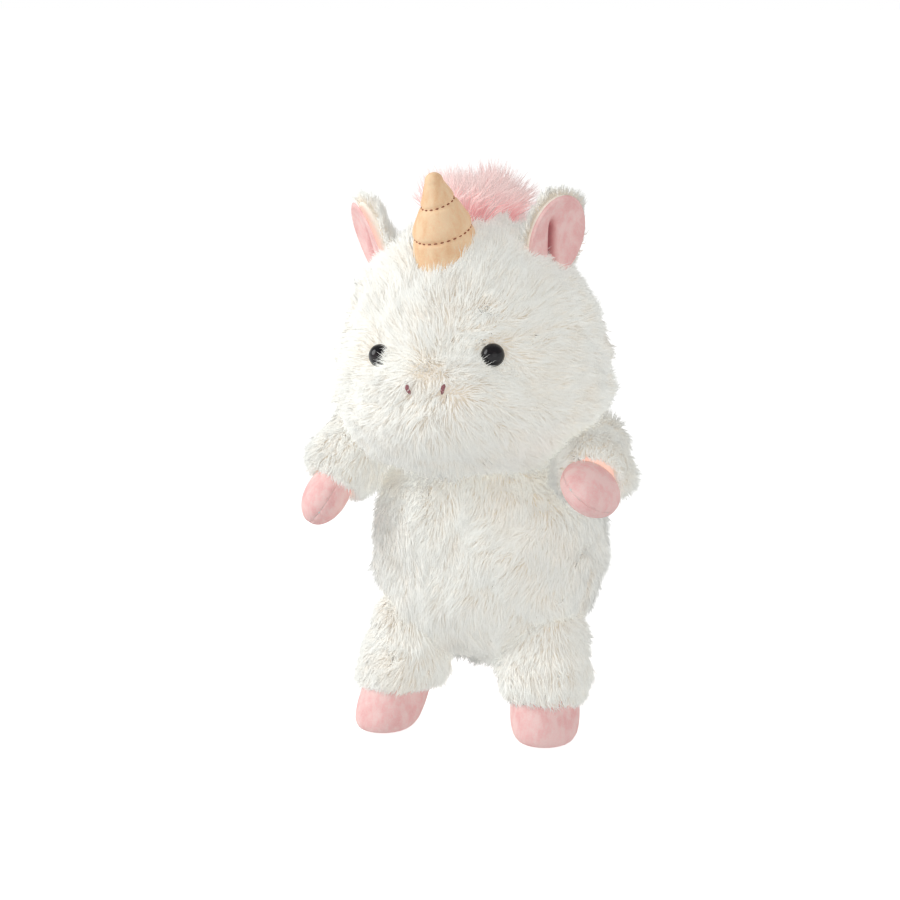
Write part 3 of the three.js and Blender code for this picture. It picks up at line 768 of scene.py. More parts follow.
def soft_form(form, skin, start, rows=56, around=80, seed=1):
    """A round form inside the pile, with shallow dimples as hand stuffing leaves."""
    grid = pushed_out(sphere_directions(rows, around), form, -skin - start)
    points, faces = closed_grid(grid)
    outward = unit(points - np.array(form.centre))
    return points + outward * (0.7 * waves(points, 34, seed))[:, None], faces


def away_from(points, spot):
    return unit(points - np.array(spot))


def clear_of_face(points):
    """The share of full pile length: short beside the eyes and nostrils, long beside the horn."""
    share = np.ones(len(points))
    for sign in SIDES.values():
        eye, _ = front_of(HEAD, sign * EYE["side"], EYE["height"])
        share *= 0.3 + 0.7 * fade(np.linalg.norm(points - eye, axis=1), 6.5, 15)
        nostril, _ = front_of(MUZZLE, sign * NOSTRIL["side"], NOSTRIL["height"])
        share *= 0.35 + 0.65 * fade(np.linalg.norm(points - nostril, axis=1), 4, 11)
    seen = local(points, horn_turn(), horn_place())
    return share * (1.4 - 0.4 * fade(np.hypot(seen[:, 0], seen[:, 1]), HORN["base"] + 1, HORN["base"] + 12))


def off_the_face(points):
    """True where no eye, nostril or horn takes the place of the pile."""
    free = np.ones(len(points), bool)
    for sign in SIDES.values():
        eye, _ = front_of(HEAD, sign * EYE["side"], EYE["height"])
        free &= np.linalg.norm(points - eye, axis=1) > 7.3
        nostril, normal = front_of(MUZZLE, sign * NOSTRIL["side"], NOSTRIL["height"])
        free &= np.linalg.norm(points - (nostril - 5 * normal), axis=1) > 2.4
    seen = local(points, horn_turn(), horn_place())
    free &= (np.hypot(seen[:, 0], seen[:, 1]) > HORN["base"] - 3) | (seen[:, 2] < -22)
    return free


def face_flow(points, normals):
    """Away from the nose, beside an eye away from that, and beside the horn up along it."""
    way = away_from(points, NOSE) * fade(np.linalg.norm(points - np.array(NOSE), axis=1), 4, 30)[:, None]
    way = way + np.array([0, 0.25, -0.25])
    for sign in SIDES.values():
        eye, _ = front_of(HEAD, sign * EYE["side"], EYE["height"])
        near = 1 - fade(np.linalg.norm(points - eye, axis=1), 8, 17)
        way = way * (1 - near[:, None]) + away_from(points, eye) * near[:, None]
    reach = np.linalg.norm(points - horn_place(), axis=1)
    far = fade(reach, 16, 28)[:, None]
    return way * far + np.array([0, 0.3, 0.9]) * (1 - far)


def under_head(points, normals):
    """The share of full pile length: short where the head rests, full from the head's edge outwards."""
    return 0.3 + 0.7 * fade(level(points, HEAD, -HEAD_SKIN - 2), 0.85, 1.02)


def outside_limbs(points):
    """True outside the balls at the tops of the arms and legs."""
    free = np.ones(len(points), bool)
    for side, sign in SIDES.items():
        free &= np.linalg.norm(points - np.array(ARMS[side]["shoulder"]), axis=1) > ARM["ball"] - 5
        hip = np.array(LEG["hip"]) * (sign, 1, 1)
        free &= np.linalg.norm(points - hip, axis=1) > LEG["ball"] - 5
    return free


class PLUSH_OT_head(bpy.types.Operator):
    """Head panels and muzzle: stuffed forms, cut at the seams, under white pile"""
    bl_idname = "plush.head"
    bl_label = "Head"

    def execute(self, context):
        fur = context.scene.plush_fur
        seam = lambda p: np.abs(p[:, 1] - EAR_SEAM_Y) < 2.5
        head = stuffed(*soft_form(HEAD, HEAD_SKIN, 2.5, seed=11), 4.5, 2.5, seam)
        points = arrays_of(head)[0]
        points = seated(points, TORSO._replace(half=(56, 49.5), up=54), NECK_HINGE, NECK_SWING)
        head.vertices.foreach_set("co", (points * MM).astype(np.float32).ravel())
        head.update()
        muzzle = stuffed(*soft_form(MUZZLE, MUZZLE_SKIN, 2, seed=12), 4, 2)
        panels = {
            "head_front": cut_panel(head, ((0, EAR_SEAM_Y, 0), (0, 1, 0))),
            "head_back": cut_panel(head, ((0, EAR_SEAM_Y, 0), (0, -1, 0))),
            "muzzle": cut_panel(muzzle, ((0, MUZZLE_BACK_Y, 0), (0, 1, 0))),
        }
        for name, panel in panels.items():
            skin = show(f"{name}_cloth", panel, finish("knit_backing_white"), "head", name)
            cloth_wall(skin, FUR_WALL)
        under = lambda p: level(p, TORSO, 3) > 1
        on_face = lambda p, n: (level(p, MUZZLE, -MUZZLE_SKIN - 4.5) > 1) & off_the_face(p) & under(p)
        on_muzzle = lambda p, n: (level(p, HEAD, -HEAD_SKIN - 5) > 1) & off_the_face(p)
        height = lambda p, n: clear_of_face(p)
        keeps = {"head_front": on_face, "head_back": on_face, "muzzle": on_muzzle}
        for index, (name, keep) in enumerate(keeps.items()):
            grow_pile(f"{name}_pile", "head", "white", panels[name], fur.head_pile, fur.density, face_flow,
                      keep, 100 + index, height=height)
        return {"FINISHED"}


class PLUSH_OT_face(bpy.types.Operator):
    """Eyes with their stems, and nostrils in satin stitch"""
    bl_idname = "plush.face"
    bl_label = "Eyes and nostrils"

    def execute(self, context):
        for side, sign in SIDES.items():
            self.add_eye(side, sign)
            self.add_nostril(side, sign)
        return {"FINISHED"}

    def add_eye(self, side, sign):
        """A dome that is a quarter ellipse turned round, a rounded rim, and a stem through the cloth."""
        point, normal = front_of(HEAD, sign * EYE["side"], EYE["height"])
        dome = EYE["dome"]
        angle = np.linspace(0, pi / 2, 15)
        profile = [(dome * sin(a), dome * 0.92 * cos(a)) for a in angle]
        profile += [(dome - 0.15, -0.45), (dome - 0.6, -0.75), (EYE["stem"] + 0.2, -0.8), (EYE["stem"], -1.2),
                    (EYE["stem"], -EYE["length"] + 0.6), (EYE["stem"] - 0.6, -EYE["length"]),
                    (0, -EYE["length"])]
        turn = Vector((0, 0, 1)).rotation_difference(Vector(normal))
        points, faces = closed_grid(placed(turned(profile, 48), turn, point - normal * (EYE["sunk"] + 0.6)))
        eye = show(f"eye_{side}_dome", mesh_of("eye", points, faces), finish("moulded_acrylic_black"),
                   "head", f"eye_{side}")

    def add_nostril(self, side, sign):
        """Five threads side by side, each a thin spindle bowed over the cloth, the middle ones longest."""
        point, normal = front_of(MUZZLE, sign * NOSTRIL["side"], NOSTRIL["height"])
        tilt = Quaternion(Vector(normal), -sign * NOSTRIL["tilt"])
        up = np.array(tilt @ head_turn() @ Vector((0, 0, 1)))
        across = unit(np.cross(up, normal))
        grids = []
        for place in np.linspace(-1, 1, 5):
            long = NOSTRIL["long"] * (1 - 0.3 * place * place)
            along = np.linspace(-1, 1, 9)
            centre = (point - 2.6 * normal + across * place * 0.62 + up[None] * (along * long)[:, None]
                      + normal[None] * ((1 - along ** 2) * 1.1)[:, None])
            radius = 0.34 * np.sqrt(np.maximum(1 - along ** 4, 0))
            spin = np.linspace(0, 2 * pi, 8, endpoint=False)
            ring = across[None] * np.cos(spin)[:, None] + normal[None] * np.sin(spin)[:, None]
            grids.append(centre[::-1, None] + radius[::-1, None, None] * ring[None, ::-1])
        nostril = show(f"nostril_{side}_threads", mesh_of("nostril", *joined(grids)),
                       finish("satin_thread_rose"), "head", f"nostril_{side}")


# ---- Horn ----


def ring_lift(angle):
    """How far a stitched ring climbs round the horn: a slow rise to the horn's left."""
    return 1.2 * np.cos(angle - 0.35)


def horn_radius(height, angle):
    """The horn's radius: a smooth curve through its marks, drawn in by a narrow groove at each ring,
    and closed by a quarter ellipse at the tip."""
    profile = smooth_profile(HORN_MARKS, 8)
    raised = height - ring_lift(angle) * fade(height, -1, 8) * (1 - fade(height, 30, 37))
    radius = np.interp(raised, profile[:, 1], profile[:, 0])
    groove = sum(1.0 * np.exp(-((raised - ring) / 1.0) ** 2) for ring in HORN_RINGS)
    over = np.maximum(height - HORN["height"] + HORN["tip"], 0) / (HORN["tip"] + 0.1)
    cap = np.sqrt(np.clip(1 - over ** 2, 0, 1))
    return (radius - groove) * cap


class PLUSH_OT_horn(bpy.types.Operator):
    """Stuffed velboa horn with two rings of brown running stitches"""
    bl_idname = "plush.horn"
    bl_label = "Horn"

    def execute(self, context):
        height = np.concatenate([[41.1], np.linspace(41, 37, 9), np.linspace(36.4, -1, 66), [-1.1]])[:, None]
        angle = np.linspace(0, 2 * pi, 96, endpoint=False)[None]
        radius = horn_radius(height, angle)
        radius[0] = radius[-1] = 0
        pucker = 1 + 0.012 * np.sin(9 * angle + 0.5 * height) * np.exp(-((height - 14) / 9) ** 2)
        grid = np.stack([radius * pucker * np.cos(angle), radius * pucker * np.sin(angle),
                         height + 0 * angle], -1)
        points, faces = closed_grid(placed(grid, horn_turn(), horn_place()))
        horn = show("horn_velboa", mesh_of("horn", points, faces), finish("velboa_gold"), "head", "horn_skin")
        for (name, count), ring in zip(HORN_STITCHES.items(), HORN_RINGS):
            self.add_stitches(name, ring, count)
        return {"FINISHED"}

    def add_stitches(self, name, ring, count):
        """Running stitches: short bowed spindles end to end round the ring, with gaps between them."""
        grids = []
        share = np.linspace(-1, 1, 7)
        spin = np.linspace(0, 2 * pi, 6, endpoint=False)
        for step in range(count):
            angle = 2 * pi * (step + 0.5 + share * 0.3) / count
            height = ring + ring_lift(angle)
            radius = horn_radius(height, angle) + 0.12 + 0.16 * (1 - share ** 2)
            centre = np.stack([radius * np.cos(angle), radius * np.sin(angle), height], -1)
            outward = np.stack([np.cos(angle), np.sin(angle), 0 * angle], -1)
            girth = 0.33 * np.sqrt(np.maximum(1 - share ** 4, 0))
            across = (outward[:, None] * np.cos(spin)[None, :, None]
                      + np.array([0, 0, 1.0]) * np.sin(spin)[None, :, None])
            grid = centre[:, None] + girth[:, None, None] * across
            grids.append(grid[:, ::-1])
        points, faces = joined(grids)
        mesh = mesh_of("stitches", placed(points, horn_turn(), horn_place()), faces)
        stitches = show(f"horn_stitches_{name}", mesh, finish("spun_thread_brown"), "head",
                        f"horn_stitch_{name}")


# ---- Ears ----

EAR_SKIN = 3.0


def crease_line(z):
    """The fold's x at each height: it slants from the lining's inner side at the root outwards to the tip."""
    return -2.2 - 0.28 * z


def fold_share(x, z):
    """1 in the fold and 0 beside it: a narrow bell across it, fading out towards the tip."""
    return np.exp(-((x - crease_line(z)) / 1.5) ** 2) * (1 - fade(z, 2, 11)) * fade(z, -19, -15)


def lining_depth(x, z):
    """The lining's y in the ear's frame: a shallow dish inside its rim, and a fold along the ear that
    deepens towards the root. x and z run from the lining's middle."""
    wide, tall = LINING["half"]
    ring = np.clip((x / wide) ** 2 + (z / tall) ** 2, 0, 1)
    dish = -LINING["forward"] - 0.6 + 2.4 * (1 - ring)
    deep = 1 - fade(z, -4, 13)
    fold = 4.6 * fold_share(x, z) * np.sqrt(np.clip(1 - ring ** 3, 0, 1))
    lobes = -1.6 * np.exp(-((np.abs(x - crease_line(z)) - 4.6) / 3.0) ** 2) * deep * (1 - ring)
    return dish + fold + lobes


class PLUSH_OT_ears(bpy.types.Operator):
    """Ears: a furry back, and a folded velboa lining set into the front"""
    bl_idname = "plush.ears"
    bl_label = "Ears"

    def execute(self, context):
        for side in SIDES:
            self.add_lining(side)
            self.add_back(side, context.scene.plush_fur)
        return {"FINISHED"}

    def add_lining(self, side):
        """An oval sheet: rows are rings from the middle to the rim, and depth follows the dish and fold."""
        mirror = SIDES[side]
        ring = np.linspace(0, 1, 40)[:, None] ** 0.8
        angle = np.linspace(0, 2 * pi, 96, endpoint=False)[None]
        wide, tall = (size + 1.2 for size in LINING["half"])
        x, z = ring * wide * np.cos(angle), ring * tall * np.sin(angle)
        front = lining_depth(x, z)
        rim = 1.2 * fade(ring, 0.9, 1)
        middle = EAR["middle"] + LINING["raise"]
        face = np.stack([mirror * x, front + rim, z + middle], -1)
        back = np.stack([mirror * x, front + 1.1 + 0 * x, z + middle], -1)
        grid = np.concatenate([face, back[::-1]])
        if mirror > 0:
            grid = grid[:, ::-1]
        points, faces = closed_grid(placed(grid, ear_turn(side), ear_place(side)))
        mesh = mesh_of("lining", points, faces)
        seen = local(points, ear_turn(side), ear_place(side)) * (mirror, 1, 1) - (0, 0, middle)
        share = fold_share(seen[:, 0], seen[:, 2])
        mesh.attributes.new("fold", "FLOAT", "POINT").data.foreach_set("value", share.astype(np.float32))
        lining = show(f"ear_lining_{side}_velboa", mesh, finish("velboa_ear"), f"ear_{side}",
                      f"ear_lining_{side}")

    def add_back(self, side, fur):
        """An ellipsoid whose front is pressed in behind the lining; pile grows on its back and rim."""
        mirror = SIDES[side]
        wide, thick, tall = (size - EAR_SKIN for size in EAR["half"])
        directions = sphere_directions(48, 64)
        x, y, z = (directions * (wide, thick, tall)).transpose(2, 0, 1)
        behind = lining_depth(x, z - LINING["raise"]) + 1.6
        inside = (x / LINING["half"][0]) ** 2 + ((z - LINING["raise"]) / LINING["half"][1]) ** 2
        pressed = np.where((y < 0) & (inside < 1), np.maximum(y, np.minimum(behind, thick - 1)), y)
        grid = np.stack([mirror * x, pressed, z + EAR["middle"]], -1)
        if mirror < 0:
            grid = grid[:, ::-1]
        points, faces = closed_grid(placed(grid, ear_turn(side), ear_place(side)))
        mesh = mesh_of("ear", points, faces)
        cloth = show(f"ear_back_{side}_cloth", mesh, finish("knit_backing_white"), f"ear_{side}",
                     f"ear_back_{side}")

        def keep(roots, normals):
            seen = local(roots, ear_turn(side), ear_place(side))
            wide, tall = LINING["half"]
            span = (seen[:, 0] / wide) ** 2 + ((seen[:, 2] - EAR["middle"] - LINING["raise"]) / tall) ** 2
            facing = (normals @ np.array(ear_turn(side).to_matrix()))[:, 1]
            return ((facing > 0.15) | (span > 1)) & (level(roots, HEAD, -HEAD_SKIN) > 1)

        def flow(roots, normals):
            seen = local(roots, ear_turn(side), ear_place(side))
            outward = np.stack([seen[:, 0] / 15, 0.25 + 0 * seen[:, 0], (seen[:, 2] - 8) / 24], -1)
            return outward @ np.array(ear_turn(side).to_matrix()).T

        def height(roots, normals):
            seen = local(roots, ear_turn(side), ear_place(side))
            return np.where(seen[:, 1] < -1, 0.6, 1.0)

        grow_pile(f"ear_back_{side}_pile", f"ear_{side}", "white", mesh, fur.ear_pile, fur.density * 1.15,
                  flow, keep, 300 + mirror, fine=0.9, stand=(0.75, 0.35), height=height, thin=0.8)


# ---- Mane and tail: pink pile, so many locks on a square millimetre ----

MANE_DENSITY = 2.6
TAIL_DENSITY = 2.2


class PLUSH_OT_mane(bpy.types.Operator):
    """Mane: a strip of long pink pile from behind the horn to the nape, parted in the middle"""
    bl_idname = "plush.mane"
    bl_label = "Mane"

    def execute(self, context):
        strip = self.strip()
        cloth = show("mane_cloth", mesh_of("mane", *strip), finish("knit_backing_pink"), "head", "mane")

        def flow(roots, normals):
            across = local(roots, head_turn(), HEAD.centre)[:, 0]
            lean = np.sign(across) * (0.12 + 0.005 * np.abs(across))
            way = np.stack([lean, 0.1 + 0 * lean, 0.45 + 0 * lean], -1)
            return way @ roll_matrix(HEAD_ROLL).T

        keep = lambda roots, normals: (normals * unit(roots - np.array(HEAD.centre))).sum(1) > 0.5
        taper = lambda roots, normals: 0.55 + 0.45 * fade(roots[:, 2], 180, 235)
        grow_pile("mane_pile", "head", "pink", cloth.data, context.scene.plush_fur.mane_pile, MANE_DENSITY,
                  flow, keep, 401, fine=1.1, stand=(1.0, 0.75), clump=0.25, stray=0.12, height=taper)
        return {"FINISHED"}

    def strip(self):
        """A low ridge along the head's middle line: across it the height is 2 mm times 1 - s^4, and along
        it the strip follows the head's curve from behind the horn to the nape."""
        along = np.linspace(0, 1, 60)[:, None]
        across = np.linspace(-1, 1, 15)[None]
        lean = radians(101) + (radians(-8) - radians(101)) * along
        direction = np.stack(np.broadcast_arrays(0.16 * across, np.cos(lean), np.sin(lean)), -1)
        ridge = unit(direction) * (2.2 * (1 - across ** 4))[..., None]
        top = pushed_out(direction, HEAD, -HEAD_SKIN + 0.5) + ridge @ roll_matrix(HEAD_ROLL).T
        under = pushed_out(direction, HEAD, -HEAD_SKIN - 1.5)
        grid = np.concatenate([top, under[:, ::-1]], 1)
        rows = grid[:1], grid[-1:]
        first, last = (np.repeat(row.mean(1, keepdims=True), grid.shape[1], 1) for row in rows)
        return closed_grid(np.concatenate([first, grid, last]))


class PLUSH_OT_tail(bpy.types.Operator):
    """Tail: a small stuffed bag under long pink pile"""
    bl_idname = "plush.tail"
    bl_label = "Tail"

    def execute(self, context):
        turn = Quaternion((1, 0, 0), radians(TAIL["lean"]))
        wide, thick, tall = TAIL["half"]
        middle = np.array([0, TAIL["back"], TAIL["ball"] - tall])
        grid = sphere_directions(28, 36) * (wide - 6.5, thick - 5, tall - 8) + middle + (0, 0, 3)
        mesh = mesh_of("tail", *closed_grid(placed(grid, turn, TAIL["root"])))
        cloth = show("tail_cloth", mesh, finish("knit_backing_pink"), "tail", "tail")
        flow = lambda roots, normals: np.array([0, 0.15, -1.0]) + 0 * roots
        keep = lambda roots, normals: level(roots, TORSO, -6) > 1

        def taper(roots, normals):
            return 0.45 + 0.35 * fade(roots[:, 2], 15, 45)

        grow_pile("tail_pile", "tail", "pink", mesh, context.scene.plush_fur.mane_pile, TAIL_DENSITY,
                  flow, keep, 402, stand=(0.5, 0.15), clump=0.35, stray=0.2, height=taper)
        return {"FINISHED"}


# ---- Body ----

BODY_SKIN = 5.5


class PLUSH_OT_body(bpy.types.Operator):
    """Body: one front panel and two back panels, with the closing seam down the back"""
    bl_idname = "plush.body"
    bl_label = "Body"

    def execute(self, context):
        fur = context.scene.plush_fur

        def seams(p):
            back = (np.abs(p[:, 0]) < 2.5) & (p[:, 1] > SIDE_SEAM_Y)
            return (np.abs(p[:, 1] - SIDE_SEAM_Y) < 2.5) | back

        body = stuffed(*soft_form(TORSO, BODY_SKIN, 3, seed=13), 4.5, 3, seams)
        front_cut = ((0, SIDE_SEAM_Y, 0), (0, 1, 0))
        back_cut = ((0, SIDE_SEAM_Y, 0), (0, -1, 0))
        panels = {
            "body_front": cut_panel(body, front_cut),
            "body_back_left": cut_panel(body, back_cut, ((0, 0, 0), (-1, 0, 0))),
            "body_back_right": cut_panel(body, back_cut, ((0, 0, 0), (1, 0, 0))),
        }
        keep = lambda p, n: outside_limbs(p) & (level(p, HEAD, -HEAD_SKIN - 14) > 1)

        def flow(points, normals):
            turn = 0.4 * waves(points, 60, 21) + 0.25 * np.tanh(points[:, 0] / 30)
            return np.stack([turn, -0.2 + 0 * turn, -1 + 0 * turn], -1)

        for index, (name, panel) in enumerate(panels.items()):
            skin = show(f"{name}_cloth", panel, finish("knit_backing_white"), "torso", name)
            cloth_wall(skin, FUR_WALL)
            grow_pile(f"{name}_pile", "torso", "white", panel, fur.body_pile, fur.density, flow, keep,
                      200 + index, height=under_head)
        return {"FINISHED"}


# ---- Arms and legs ----

LIMB_SKIN = 4.0


def seamed_ellipsoid(half, rows=60, around=72):
    """An ellipsoid with its seam in the plane y = 0: near that plane its radius dips by a narrow bell."""
    directions = sphere_directions(rows, around)
    dip = 1 - 0.045 * np.exp(-(directions[..., 1] / 0.075) ** 2)
    return directions * np.array(half) * dip[..., None]


class PLUSH_OT_arms(bpy.types.Operator):
    """Arms: a furry sleeve and a hoof of two velboa panels with a seam between them"""
    bl_idname = "plush.arms"
    bl_label = "Arms"

    def execute(self, context):
        fur = context.scene.plush_fur
        for index, side in enumerate(SIDES):
            turn = arm_turn(side)
            shoulder = ARMS[side]["shoulder"]
            self.add_sleeve(side, turn, shoulder, fur, 500 + index)
            self.add_hoof(side, turn, shoulder)
        return {"FINISHED"}

    def add_sleeve(self, side, turn, shoulder, fur, seed):
        ball, cuff, long = ARM["ball"] - LIMB_SKIN, ARM["cuff"] - LIMB_SKIN, ARM["sleeve"]
        top = [(ball * sin(a), ball * cos(a)) for a in np.linspace(0, pi / 2, 7)]
        marks = top + [(cuff - 0.8, -0.45 * long), (cuff, -0.75 * long), (cuff - 0.4, -long + 1),
                       (cuff - 2.4, -long), (cuff - 6, -long + 2), (0, -long + 4)]
        grid = placed(turned(smooth_profile(marks, 4), 56), turn, shoulder)
        mesh = mesh_of("sleeve", *closed_grid(grid))
        body = f"arm_{side}"
        cloth = show(f"arm_skin_{side}_cloth", mesh, finish("knit_backing_white"), body, f"arm_skin_{side}")
        matrix = np.array(turn.to_matrix())

        def keep(points, normals):
            seen = local(points, turn, shoulder)
            outer = np.hypot(seen[:, 0], seen[:, 1]) > cuff - 3.5
            return (outer | (seen[:, 2] > -long + 6)) & (level(points, TORSO, -BODY_SKIN - 2) > 1) & (
                level(points, HEAD, -HEAD_SKIN - 12) > 1)

        def flow(points, normals):
            seen = local(points, turn, shoulder)
            out = np.stack([seen[:, 0] / 30, seen[:, 1] / 30, -1 + 0 * seen[:, 0]], -1)
            return out @ matrix.T

        def height(points, normals):
            down = -local(points, turn, shoulder)[:, 2]
            return under_head(points, normals) * (1 - 0.3 * fade(down, 14, 25))

        grow_pile(f"arm_skin_{side}_pile", body, "white", mesh, fur.limb_pile, fur.density * 1.1, flow,
                  keep, seed, height=height, thin=0.5)

    def add_hoof(self, side, turn, shoulder):
        half = tuple(size - 1.2 for size in ARM["hoof"])
        shape = seamed_ellipsoid(half)
        nose = 1 - 0.07 * fade(-shape[..., 2] / half[2], 0.2, 1)
        shape[..., 0] *= nose
        grid = placed(shape + np.array([0, 0, -ARM["hoof_at"]]), turn, shoulder)
        matrix = np.array(turn.to_matrix())
        held = lambda p: np.abs(local(p, turn, shoulder)[:, 1]) < 0.9
        hoof = stuffed(*closed_grid(grid), 1.5, 1.2, held)
        across = matrix[:, 1]
        middle = np.array(shoulder)
        for name, sign in (("upper", 1), ("lower", -1)):
            panel = cut_panel(hoof, (middle + across * 0.12 * sign, across * -sign))
            piece = show(f"arm_hoof_{name}_{side}_velboa", panel, finish("velboa_pink"), f"arm_{side}",
                         f"arm_hoof_{name}_{side}")
            cloth_wall(piece, VELBOA_WALL)


class PLUSH_OT_legs(bpy.types.Operator):
    """Legs: a furry sleeve that flares over a round velboa hoof with a flat sole"""
    bl_idname = "plush.legs"
    bl_label = "Legs"

    def execute(self, context):
        fur = context.scene.plush_fur
        for index, (side, sign) in enumerate(SIDES.items()):
            self.add_sleeve(side, sign, fur, 600 + index)
            self.add_hoof(side, sign)
        return {"FINISHED"}

    def slanted(self, points, side):
        """Below the hip each height moves across and forwards by its share of the foot's offset."""
        share = np.maximum(-points[..., 2:], 0) / LEG["hip"][2]
        return points + share * np.array([*FEET[side], 0])

    def add_sleeve(self, side, sign, fur, seed):
        hip = np.array(LEG["hip"]) * (sign, 1, 1)
        ball, cuff = LEG["ball"] - LIMB_SKIN - 0.5, LEG["cuff"] - LIMB_SKIN - 0.5
        low = LEG["end"] - LEG["hip"][2]
        top = [(ball * sin(a), ball * cos(a)) for a in np.linspace(0, radians(80), 7)]
        marks = top + [(cuff - 0.5, -9), (cuff, low + 3), (cuff - 0.6, low), (cuff - 3, low - 0.6),
                       (cuff - 7, low + 1), (0, low + 3)]
        grid = self.slanted(turned(smooth_profile(marks, 4), 60), side) + hip
        mesh = mesh_of("sleeve", *closed_grid(grid))
        body = f"leg_{side}"
        cloth = show(f"leg_skin_{side}_cloth", mesh, finish("knit_backing_white"), body, f"leg_skin_{side}")
        foot = hip + np.array([*FEET[side], 0]) * 0.6

        def keep(points, normals):
            outer = np.hypot(*(points - foot)[:, :2].T) > cuff - 5.5
            return (outer | (points[:, 2] > LEG["end"] + 6)) & (level(points, TORSO, -BODY_SKIN - 2) > 1)

        def flow(points, normals):
            out = (points - hip) / 26
            return np.stack([out[:, 0] + 0.25 * sign, out[:, 1], -1 + 0 * out[:, 0]], -1)

        height = lambda points, normals: 1 - 0.35 * (1 - fade(points[:, 2], 22, 34))
        grow_pile(f"leg_skin_{side}_pile", body, "white", mesh, fur.limb_pile, fur.density * 1.1, flow,
                  keep, seed, height=height, thin=0.5)

    def add_hoof(self, side, sign):
        """A round cup: its radius follows a smooth profile from the cuff to a soft edge and a flat sole."""
        hip = np.array(LEG["hip"]) * (sign, 1, 1)
        radius = LEG_HOOF["half"][0] - 1.0
        shares = [(0, 31), (0.7, 30.6), (0.92, 28), (0.985, 22), (1.0, 15), (0.985, 9.5), (0.93, 5),
                  (0.83, 2.2), (0.68, 0.9), (0.4, 0.7), (0, 0.7)]
        marks = [(share * radius, height - LEG["hip"][2]) for share, height in shares]
        grid = turned(smooth_profile(marks, 4), 64)
        grid[..., 1] *= LEG_HOOF["half"][1] / LEG_HOOF["half"][0]
        grid = self.slanted(grid, side) + hip
        held = lambda p: p[:, 2] < 1.2
        mesh = stuffed(*closed_grid(grid), 1.7, 1.0, held)
        points = arrays_of(mesh)[0]
        points[:, 2] = np.maximum(points[:, 2], 0.25)
        mesh.vertices.foreach_set("co", (points * MM).astype(np.float32).ravel())
        mesh.update()
        hoof = show(f"leg_hoof_{side}_velboa", mesh, finish("velboa_pink"), f"leg_{side}", f"leg_hoof_{side}")


# ---- Inner pieces that the frame already shapes ----


class PLUSH_OT_inside(bpy.types.Operator):
    """Stuffing, pellet pouch, eye washers and closing seam: the frame's own shapes with their finishes"""
    bl_idname = "plush.inside"
    bl_label = "Inside"

    def execute(self, context):
        finishes = {"stuffing": "polyester_fill", "pouch": "woven_pouch_cloth",
                    "washer": "moulded_polyethylene", "closing": "spun_thread_white"}
        for name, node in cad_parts.items():
            if node.hide_render:
                continue
            kind = next((k for k in finishes if k in name), None)
            if kind is None:
                raise RuntimeError(f"no finish for {name}")
            node.data.materials.clear()
            node.data.materials.append(finish(finishes[kind]))
        return {"FINISHED"}


# ---- Stage ----


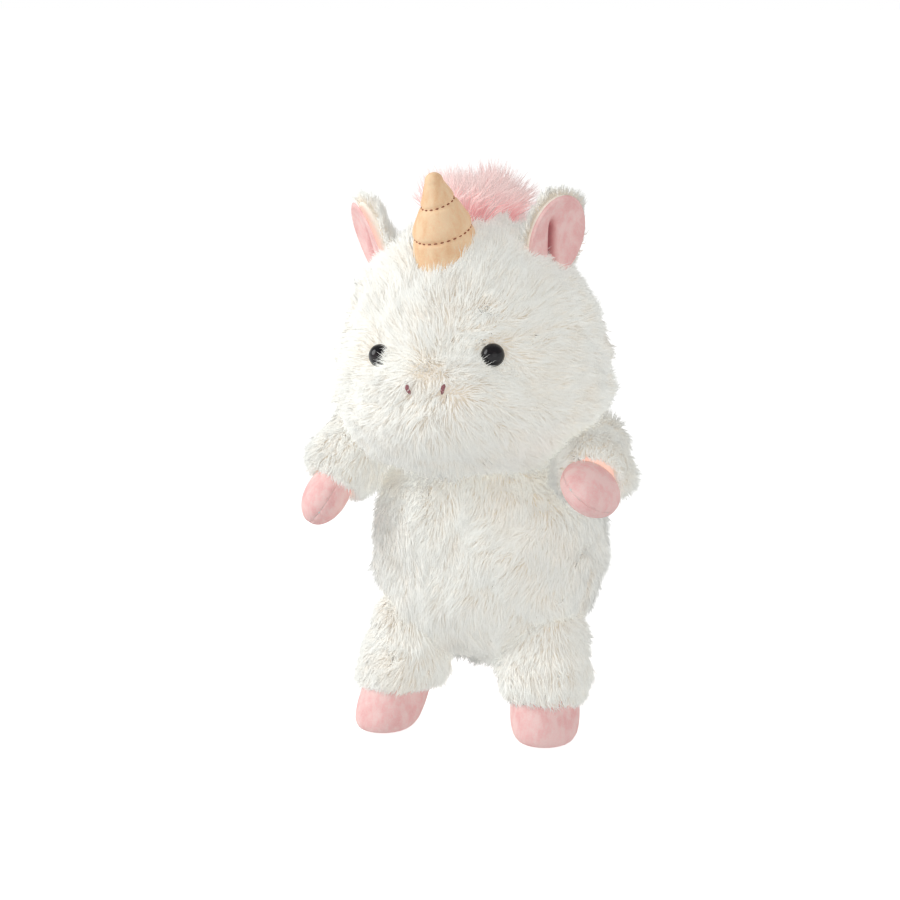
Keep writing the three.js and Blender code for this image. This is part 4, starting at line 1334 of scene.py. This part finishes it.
class PLUSH_OT_stage(bpy.types.Operator):
    """Pale floor, soft studio light and the camera"""
    bl_idname = "plush.stage"
    bl_label = "Stage"

    def execute(self, context):
        stage = context.scene.plush_stage
        self.add_floor(stage)
        self.add_light("key_light", (-1.2, -0.65, 0.85), 1.0, stage.key_power)
        self.add_light("fill_light", (0.9, -1.2, 0.5), 1.2, stage.key_power * 0.12)
        self.add_world(context, stage)
        self.add_camera(context, stage)
        context.scene.view_settings.view_transform = "Standard"
        context.scene.cycles.max_bounces = 20
        context.scene.cycles.diffuse_bounces = 12
        return {"FINISHED"}

    def add_floor(self, stage):
        corners = np.array([(-1, -1, 0), (1, -1, 0), (1, 1, 0), (-1, 1, 0)], float) * FLOOR_HALF
        mesh = mesh_of("floor", corners, [np.array([(0, 1, 2, 3)])])
        floor = bpy.data.objects.new("floor", mesh)
        bpy.context.scene.collection.objects.link(floor)
        made, tree, shader, place = new_material("matt_white_paint")
        grain = noise(tree, place, 300, 2)
        tone = tuple(c * 0.985 for c in stage.floor)
        tree.links.new(blend_colours(tree, spread(tree, grain, 0.3, 0.7), opaque(stage.floor), opaque(tone)),
                       shader.inputs["Base Color"])
        shader.inputs["Roughness"].default_value = 1.0
        shader.inputs["Specular IOR Level"].default_value = 0.0
        shader.inputs["Emission Color"].default_value = (1, 1, 1, 1)
        shader.inputs["Emission Strength"].default_value = 0.65
        mesh.materials.append(made)
        floor.visible_diffuse = False

    def add_light(self, name, place, size, power):
        data = bpy.data.lights.new(name, "AREA")
        data.shape = "DISK"
        data.size = size
        data.energy = power
        lamp = bpy.data.objects.new(name, data)
        lamp.location = place
        lamp.rotation_euler = (Vector((0, 0, 0.13)) - Vector(place)).to_track_quat("-Z", "Y").to_euler()
        bpy.context.scene.collection.objects.link(lamp)

    def add_world(self, context, stage):
        """White all round: full at the horizon, where it meets the floor, and softer above and below."""
        world = bpy.data.worlds.new("sky")
        world.use_nodes = True
        tree = world.node_tree
        heading = add_node(tree, "ShaderNodeTexCoord").outputs["Generated"]
        rise = add_node(tree, "ShaderNodeSeparateXYZ", {0: heading}).outputs["Z"]
        above = spread(tree, rise, 0.24, 0.4, 1.0, stage.world)
        below = spread(tree, rise, -0.06, -0.01, stage.world_below, 1.0)
        strength = add_node(tree, "ShaderNodeMath", {0: above, 1: below}, operation="MINIMUM").outputs[0]
        sky = tree.nodes["Background"]
        sky.inputs["Color"].default_value = (1, 1, 1, 1)
        tree.links.new(strength, sky.inputs["Strength"])
        context.scene.world = world

    def add_camera(self, context, stage):
        data = bpy.data.cameras.new("camera")
        data.lens = stage.focal
        data.sensor_width = 36
        camera = bpy.data.objects.new("camera", data)
        a, e = stage.azimuth, stage.elevation
        back = Vector((sin(a) * cos(e), -cos(a) * cos(e), sin(e)))
        camera.location = Vector(stage.aim) + back * stage.distance
        camera.rotation_euler = (-back).to_track_quat("-Z", "Y").to_euler()
        context.scene.collection.objects.link(camera)
        context.scene.camera = camera


class PLUSH_PT_panel(bpy.types.Panel):
    """Lists the pieces of the plush unicorn"""
    bl_idname = "PLUSH_PT_panel"
    bl_label = "Plush unicorn"
    bl_space_type = "VIEW_3D"
    bl_region_type = "UI"
    bl_category = "Plush"

    def draw(self, context):
        for settings in (context.scene.plush_fur, context.scene.plush_trim, context.scene.plush_stage):
            box = self.layout.box()
            for name in settings.__annotations__:
                box.prop(settings, name)
        for operator in OPERATORS:
            self.layout.operator(operator.bl_idname)


SETTINGS = {"plush_fur": PlushFurSettings, "plush_trim": PlushTrimSettings, "plush_stage": PlushStageSettings}
OPERATORS = (PLUSH_OT_body, PLUSH_OT_head, PLUSH_OT_face, PLUSH_OT_horn, PLUSH_OT_ears, PLUSH_OT_mane,
             PLUSH_OT_tail, PLUSH_OT_arms, PLUSH_OT_legs, PLUSH_OT_inside, PLUSH_OT_stage)
CLASSES = (*SETTINGS.values(), *OPERATORS, PLUSH_PT_panel)


def register():
    for made in CLASSES:
        bpy.utils.register_class(made)
    for name, group in SETTINGS.items():
        setattr(bpy.types.Scene, name, PointerProperty(type=group))


def unregister():
    for name in SETTINGS:
        delattr(bpy.types.Scene, name)
    for made in reversed(CLASSES):
        bpy.utils.unregister_class(made)


def main():
    register()
    for operator in OPERATORS:
        group, name = operator.bl_idname.split(".")
        getattr(getattr(bpy.ops, group), name)()


if __name__ == "__main__":
    main()
